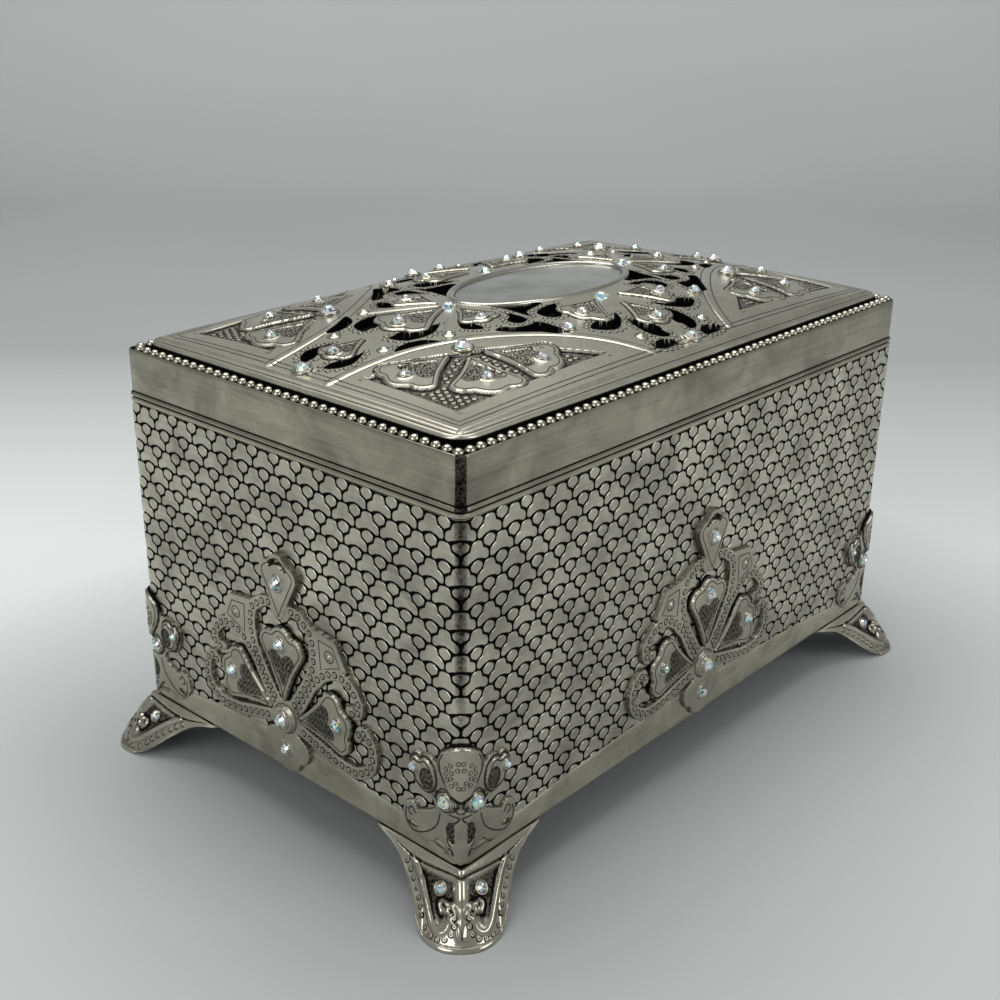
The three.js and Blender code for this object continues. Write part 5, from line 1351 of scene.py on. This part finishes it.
lid_share = np.array([box_length / 2, box_width / 2])
pierced_shares = [
    thousandths(
        (512, 130), (545, 172), (589, 190), (641, 160), (657, 80), (632, 73), (613, 68), (567, 118),
    ),
    thousandths((757, 96), (807, 132), (839, 125), (862, 90), (866, 57), (839, 54), (809, 77), (779, 92)),
    thousandths((328, 250), (324, 355), (352, 377), (371, 362), (371, 318), (347, 296)),
    thousandths((468, 191), (496, 250), (468, 310), (453, 296), (453, 257)),
    thousandths((621, 207), (599, 282), (653, 245), (710, 207), (677, 177)),
    thousandths(
        (319, 414), (305, 511), (334, 557), (375, 494), (436, 400), (447, 363), (422, 357), (393, 400),
        (352, 416),
    ),
    thousandths((238, 207), (194, 261), (278, 296), (301, 341), (305, 226), (315, 113), (287, 157)),
    thousandths((84, 607), (101, 652), (101, 739), (76, 786), (46, 786), (49, 748), (38, 717), (57, 661)),
    thousandths((171, 304), (234, 315), (270, 346), (266, 409), (234, 428), (210, 391), (194, 353)),
    thousandths(
        (83, 530), (107, 593), (159, 645), (203, 631), (230, 588), (186, 555), (138, 581), (114, 569),
    ),
    thousandths((83, 803), (66, 847), (131, 847), (153, 823), (131, 803)),
]
arc_shares = thousandths(
    (916, 181), (798, 200), (672, 245), (547, 334), (435, 445), (324, 577), (240, 711), (180, 845),
)
recess_shares = thousandths((310, 770), (443, 600), (567, 461), (719, 341), (860, 278), (860, 770))
arc_half_width, recess_depth, pit_depth, corner_round = 1.15, 0.7, 2.1, 5.5
recess = recess_shares * lid_share
arc_line = smooth_line(arc_shares * lid_share, 80)
openings = [smooth_line(pierced * lid_share, 60, closed=True) for pierced in pierced_shares]
stay_line = np.array([(36.5, 3.5), (43.5, 9.0), (50.6, 14.7)])
open_petals = [
    ((37.0, 0.0), 0, 1.0, 1.05), ((63.8, 0.0), 0, 0.62, 1.1), ((36.0, 3.45), 79, 0.62, 1.15),
    ((0.0, 26.5), 90, 0.72, 1.15), ((4.6, 22.1), 23.4, 0.8, 1.1),
]
fan_apex, fan_root = (54.6, 23.0), 4.65
fan_petals = []
for degrees in (0, 61, 122):
    aim = math.radians(degrees)
    root = (fan_apex[0] + fan_root * math.cos(aim), fan_apex[1] + fan_root * math.sin(aim))
    fan_petals.append((root, degrees, 0.93, 1.2))
lid_stones = [
    (35.5, 0, 2.0), (52.8, 0, 1.5), (37.6, 13.1, 1.25), (73.6, 0, 1.35), (83.0, 0, 1.9), (0, 20.2, 2.0),
    (0, 37.9, 1.35), (16.3, 27.0, 1.4), (0, 48.7, 1.9), (26.5, 30.9, 1.6), (54.6, 23.0, 2.1),
    (73.2, 23.0, 1.3), (62.1, 37.3, 1.3), (44.9, 38.4, 1.3),
]
lid_beads = [(50.6, 14.7), (65.9, 8.5), (13.0, 42.9)]
lid_summits = [(35.5, 0), (0, 20.2)]


def lid_gaps(a, b):
    """Distances from the openings, the arc band, the fan recess, the stays, the oval's bed and the petals."""
    opening = np.minimum.reduce([edge_gap(outline, a, b) for outline in openings])
    arc = line_gap(arc_line, a, b)[0] - arc_half_width
    stay = line_gap(stay_line, a, b)[0] - 1.5
    oval = (np.hypot(a / 31.6, b / 16.3) - 1) * 22
    petals = [edge_gap(petal_lines(*petal)[0], a, b) for petal in open_petals + fan_petals]
    return opening, arc, edge_gap(recess, a, b), stay, oval, petals


def lid_relief(a, b):
    """Height over the dome and shine, for the back right quarter."""
    opening, arc, recess_gap, stay, oval, _ = lid_gaps(a, b)
    sunk = rise(-recess_gap, -0.02, 0.35)
    height = -recess_depth * sunk
    shine = 0.88 - 0.55 * sunk - 0.25 * sunk * (1 - rise(-recess_gap, 0.3, 0.9))
    framed = (arc > 0) & (recess_gap > 0)
    beside = framed * (1 - rise(opening, 1.9, 2.3)) * rise(opening, 0, 0.1)
    shine = shine - 0.22 * beside
    height = np.where(stay < 0, 0.2 * rise(-stay, 0, 0.35), height)
    height = np.where(arc < 0.02, 0.22 * rise(-arc, -0.02, 0.35), height)
    shine = np.where((arc < 0.02) | (stay < 0), 0.9, shine)
    # The pierced openings are pits painted black: the dark backing seen through them, and painted shade on
    # their walls.
    height = height - pit_depth * (1 - rise(opening, -0.15, -0.01))
    shine = shine - 1.2 * (1 - rise(opening, 0.03, 0.16))
    for petal in open_petals:
        height, shine, _ = raise_petal(height, shine, a, b, petal, 0.0, 0.55)
    for petal in fan_petals:
        height, shine, _ = raise_petal(height, shine, a, b, petal, -recess_depth, recess_depth + 0.1)
    for bx, by in lid_beads:
        height = height + 0.75 * (1 - rise(np.hypot(a - bx, b - by), 0.2, 1.4))
    for stone in lid_stones:
        height, shine = seat_stone(height, shine, a, b, stone, -0.2 if stone[:2] in lid_summits else 0.3)
    bed = 1 - rise(oval, -0.3, 0.02)
    return height * (1 - bed) - 1.6 * bed, np.clip(shine - bed, 0, 1)


def turned(x, y):
    """A place on the lid, with the corners of the lid's plate drawn in to a round."""
    over_x = np.clip((np.abs(x) - top_length) / corner_round + 1, 0, 1)
    over_y = np.clip((np.abs(y) - top_width) / corner_round + 1, 0, 1)
    shift_x = corner_round * over_x * (1 - np.sqrt(1 - over_y ** 2 / 2))
    shift_y = corner_round * over_y * (1 - np.sqrt(1 - over_x ** 2 / 2))
    return x - np.sign(x) * shift_x, y - np.sign(y) * shift_y


def mirror_rows(half, sign=1):
    """Front and back of a grid whose back half starts on its middle line."""
    return np.concatenate([half[:0:-1] * sign, half])


cell, rim_width = 0.31, 8.0
border = np.array([
    7.6, 6.9, 6.2, 5.5, 4.8, 4.1, 3.4, 3.0, 2.7, 2.45, 2.2, 1.7, 1.3, 1.0, 0.7, 0.45, 0.2, 0.05, 0, 0, 0,
])
grids = []
for reach in (top_length, top_width):
    grids.append(np.concatenate([np.arange(0, reach - rim_width, cell), reach - border]))
opening, arc, recess_gap, _, oval, petals = lid_gaps(*np.meshgrid(*grids))
a, b = np.meshgrid(*[grid + np.arange(len(grid)) * 1e-6 for grid in grids])
a, b = snap(a, b, [opening, arc, recess_gap, oval] + petals, cell)
height, shine = lid_relief(a, b)
level = dome(a, b) + height
for rows, drop, dull in [(-3, 113.6, 0.5), (-2, 113.3, 0.0), (-1, 111.05, 0.0)]:
    level[:, rows:], level[rows:, :] = drop, drop
    shine[:, rows:], shine[rows:, :] = dull, dull
a[:, -3:], b[-3:, :] = top_length, top_width
a, b = turned(a, b)
upward = np.array([0.0, 0, 1])
lid_finish = metal_finish(
    "rubbed lid casting", (0.57, 0.545, 0.45), (0.006, 0.0055, 0.005), 0.3, 0.45, 0.1, cast_relief,
)
for way, name in [(1, "right"), (-1, "left")]:
    points = np.stack([mirror_rows(a) * way, mirror_rows(b, -1), mirror_rows(level)], -1)
    half = cast_sheet(f"lid_dome_{name}", points, mirror_rows(shine), outward=upward, crisp=50)
    set_piece(half, lid_finish, "lid", "antique_metal", "lid_top")


def on_lid(x, y, lift=0.035):
    """A place on the finished lid."""
    return np.stack([*turned(x, y), dome(x, y) + lid_relief(np.abs(x), np.abs(y))[0] + lift], -1)


run = np.gradient(arc_line, axis=0)
aside = np.column_stack([-run[:, 1], run[:, 0]]) / np.linalg.norm(run, axis=1)[:, None]
quarter_lines = [(drawn_in(recess, 0.12), True), (drawn_in(recess, -1.3), True)]
quarter_lines += [(arc_line + aside * way * (arc_half_width + 0.16), False) for way in (-1, 1)]
quarter_lines += petal_grooves(open_petals + fan_petals, 0.17, 4)
quarter_lines += [(circle * 1.55 + spot, True) for spot in lid_beads]
lid_lines = []
for line, closed in quarter_lines:
    over_x, over_y = np.min(line, axis=0) < -0.2
    for sx, sy in [(1, 1), (-1, 1), (-1, -1), (1, -1)]:
        if not (over_x and sx < 0) and not (over_y and sy < 0):
            lid_lines.append((line * (sx, sy), closed))
for inset in (4.4, 5.9, 1.15):
    x, y = top_length - inset, top_width - inset
    ring = np.array([(x, y), (-x, y), (-x, -y), (x, -y), (x, y)])
    steps = [np.linspace(start, end, 60, endpoint=False) for start, end in zip(ring[:-1], ring[1:])]
    lid_lines.append((np.vstack(steps), True))
lay_grooves("lid_grooves", groove_strips(lid_lines, on_lid, 0.26), upward, "lid")

rows, columns = np.meshgrid(np.arange(20), np.arange(30))
fan_spots = np.column_stack([(27 + columns * 1.9 + (rows % 2) * 0.95).ravel(), (15.6 + rows * 1.62).ravel()])
fan_spots = fan_spots[edge_gap(recess, fan_spots[:, 0], fan_spots[:, 1], 9) < -1.0]
fan_spots = clear_spots(fan_spots, petal_outlines(fan_petals), 0.85)
frame_spots = []
for outline in openings:
    around = drawn_in(outline, -1.15)
    for spot in spaced(np.vstack([around, around[:1]]), 2.0):
        if all(math.hypot(*(spot - other)) > 1.7 for other in frame_spots):
            frame_spots.append(spot)
frame_spots = clear_spots(np.array(frame_spots), petal_outlines(open_petals) + openings, 0.72)
x, y = frame_spots.T
off_bands = (line_gap(arc_line, x, y)[0] > arc_half_width + 0.9) & (line_gap(stay_line, x, y)[0] > 2.2)
off_fan_and_oval = (edge_gap(recess, x, y) > 1) & (np.hypot(x / 33.9, y / 18.6) > 1)
frame_spots = frame_spots[off_bands & off_fan_and_oval & (x > 0.6) & (y > 0.6)]
quarter_dots = [(*spot, 0.9) for spot in fan_spots] + [(*spot, 0.8) for spot in frame_spots]


def lean(x, y):
    """The dome's way up at a place."""
    step = 0.5
    slope_x = (dome(x - step, y) - dome(x + step, y)) / (2 * step)
    slope_y = (dome(x, y - step) - dome(x, y + step)) / (2 * step)
    way = np.array([slope_x, slope_y, 1.0])
    return way / np.linalg.norm(way)


highest = 123.79
for store, places, sink in [(ring_places, quarter_dots, 0.0), (crystal_places, lid_stones, 0.05)]:
    spread = [
        (cx * sx, cy * sy, radius) for cx, cy, radius in places
        for sx in ((-1, 1) if cx > 0.05 else (1,)) for sy in ((-1, 1) if cy > 0.05 else (1,))
    ]
    x, y, _ = np.array(spread).T
    for spot, (cx, cy, radius) in zip(on_lid(x, y, -sink), spread):
        spot[2] = min(spot[2], highest - 0.9 * radius)
        store["lid"].append((spot, lean(cx, cy), radius))


# Oval: a polished rim round a bare brushed plate in the middle of the lid.
oval_steps = 128
angles = np.linspace(0, 2 * math.pi, oval_steps, endpoint=False)


def oval_row(half_length, half_width, lift):
    """Points round an oval, lifted off the dome."""
    x, y = half_length * np.cos(angles), half_width * np.sin(angles)
    return np.column_stack([x, y, dome(x, y) + lift])


rim_profile = [
    (-0.35, -0.9, 0.1), (-0.2, -0.3, 0.5), (0.1, 0.25, 0.9), (0.6, 0.45, 1), (1.3, 0.45, 1), (1.8, 0.25, 1),
    (2.0, -0.2, 0.5), (2.0, -1.1, 0.1),
]
rim_rows = np.array([oval_row(30.0 + grow, 14.7 + grow, lift) for grow, lift, _ in rim_profile])
rim_shines = in_rows([shine for _, _, shine in rim_profile], oval_steps)
rim = cast_sheet("oval_collar", rim_rows, rim_shines, closed=True, outward=upward)
rim_finish = metal_finish("polished rim", (0.58, 0.555, 0.49), nickel_low, 0.15, 0.3, 0.15, cast_relief)
set_piece(rim, rim_finish, "lid", "bright_metal", "oval_rim")
plate_rows = np.array([oval_row(29.6 * share, 14.3 * share, -0.35) for share in np.linspace(0, 1, 14)])
plate = cast_sheet("name_plate", plate_rows, np.ones(plate_rows.shape[:2]), closed=True, outward=upward)
open_up(plate)
bpy.ops.mesh.remove_doubles(threshold=0.005 * mm)
close_up()
oval_finish = metal_finish("brushed oval plate", (0.60, 0.60, 0.56), nickel_low, 0.22, 0.35, 0.4, cast_relief)
set_piece(plate, oval_finish, "lid", "antique_metal", "oval_plate")


# Lid pad: a padded velvet panel that fills the inside of the lid, crowned and pulled in a little at its
# sides.
bpy.ops.mesh.primitive_cube_add(size=2)
pad = bpy.context.object
pad.name = "velvet_lid_pad"
open_up(pad)
bpy.ops.mesh.subdivide(number_cuts=23)
close_up()
pad_top, pad_half_length, pad_half_width = 108.7, 89.1, 54.8
for vertex in pad.data.vertices:
    x, y, z = vertex.co
    crown = (1 - x ** 4) * (1 - y ** 4)
    pull = 0.7 * (1 - z * z) * 0.5
    dip = 0.35 * math.sin(7.0 * x + 2.1 * y) * math.sin(5.0 * y - 1.3 * x) * crown
    level = pad_top if z > 0.99 else pad_top - (1 - z) / 2 * (1.9 + 3.3 * crown ** 0.5 + dip)
    across, along = pad_half_length - pull - 0.6 * (1 - y * y), pad_half_width - pull - 0.6 * (1 - x * x)
    vertex.co = (x * across * mm, y * along * mm, level * mm)
set_piece(pad, velvet_finish, "lid", "velvet", "lid_lining")
stuff(pad)


# Stones: foil-backed cut crystals with a rainbow coat, each pressed into a collar of the casting. Every facet
# is
# painted one colour picked at random: painted glints, white and coloured, and a few painted dark reflections.
stone_finish, tree, shader = new_finish(
    "rainbow stone", Metallic=0.75, Roughness=0.07, Coat_Weight=1.0, Coat_Roughness=0.03,
)
tree.links.new(node(tree, "Attribute", attribute_name="painted_glint").outputs["Color"], shader.inputs["Base Color"])
# Painted glints and dark reflections that the facets are given, and their chances.
painted_glint_palette = np.array([
    (0.95, 0.97, 0.98), (0.90, 0.96, 0.97), (0.98, 0.96, 0.90), (0.55, 0.92, 0.65), (0.35, 0.80, 0.95),
    (0.95, 0.55, 0.72), (0.90, 0.88, 0.45), (0.60, 0.55, 0.95), (0.12, 0.16, 0.15),
])
chances = np.array([0.17, 0.14, 0.12, 0.1, 0.1, 0.07, 0.07, 0.05, 0.18])
dice = np.random.default_rng(7)


def stone_model():
    """A cut stone of radius 1: a girdle, two rows of facets and a table."""
    bpy.ops.mesh.primitive_circle_add(vertices=12, radius=1.0, fill_type="NGON")
    stone = bpy.context.object
    open_up(stone)
    for up, share, level in [(0.38, 0.93, 0.38), (0.40, 0.62, 0.78), (0.12, 0.7, 0.9)]:
        bpy.ops.mesh.extrude_region_move(TRANSFORM_OT_translate={"value": (0, 0, up)})
        bpy.ops.transform.resize(value=(share, share, 1), center_override=(0, 0, level))
    bpy.ops.mesh.select_all(action="SELECT")
    bpy.ops.mesh.quads_convert_to_tris()
    bpy.ops.mesh.normals_make_consistent(inside=False)
    close_up()
    return stone


def collar_model():
    """A thin rounded collar round a stone of radius 1."""
    bpy.ops.mesh.primitive_torus_add(major_radius=1.12, minor_radius=0.2, major_segments=20, minor_segments=6)
    collar = bpy.context.object
    open_up(collar)
    bpy.ops.transform.resize(value=(1, 1, 1.5))
    close_up()
    return collar


def ring_model():
    """A small raised ring with a black groove round it, radius 1 over the groove."""
    steps, rows = 14, []
    profile = [
        (1.0, 0.02, 0.0), (0.72, 0.03, 0.0), (0.66, 0.13, 0.75), (0.48, 0.17, 1.0), (0.3, 0.1, 0.6),
        (0.0, 0.12, 0.4),
    ]
    angles = np.linspace(0, 2 * math.pi, steps, endpoint=False)
    for reach, up, _ in profile:
        rows.append(np.column_stack([reach * np.cos(angles), reach * np.sin(angles), np.full(steps, up)]))
    shines = in_rows([shine for _, _, shine in profile], steps)
    return cast_sheet("ring", np.array(rows) / mm, shines, closed=True, outward=upward)


def standing(spot, out, radius):
    """Where a model of radius 1 stands: at its spot, upright on the surface, at its size."""
    turn = Vector(out).to_track_quat("Z", "Y").to_matrix().to_4x4()
    return Matrix.Translation(Vector(spot) * mm) @ turn @ Matrix.Scale(radius * mm, 4)


lid_crystals = [f"crystal_{side}" for side in ("right", "back", "left", "front")]
for body, replaced in [("case", []), ("lid", lid_crystals)]:
    places = [standing(*place) for place in crystal_places[body]]
    stones = set_copies(stone_model(), f"{body}_stones", places, smooth=False)
    layer = stones.data.attributes.new("painted_glint", "FLOAT_COLOR", "CORNER")
    picks = painted_glint_palette[dice.choice(len(painted_glint_palette), len(stones.data.polygons), p=chances)]
    colours = np.ones((len(stones.data.loops), 4))
    for polygon, painted_glint in zip(stones.data.polygons, picks):
        colours[polygon.loop_start:polygon.loop_start + polygon.loop_total, :3] = painted_glint
    layer.data.foreach_set("color", colours.ravel())
    set_piece(stones, stone_finish, body, "crystal", *replaced)
    rings = set_copies(ring_model(), f"{body}_rings", [standing(*place) for place in ring_places[body]])
    set_piece(rings, casting_finish, body, "antique_metal")
    collars = set_copies(collar_model(), f"{body}_stone_collars", places)
    set_piece(collars, bead_finish, body, "antique_metal")
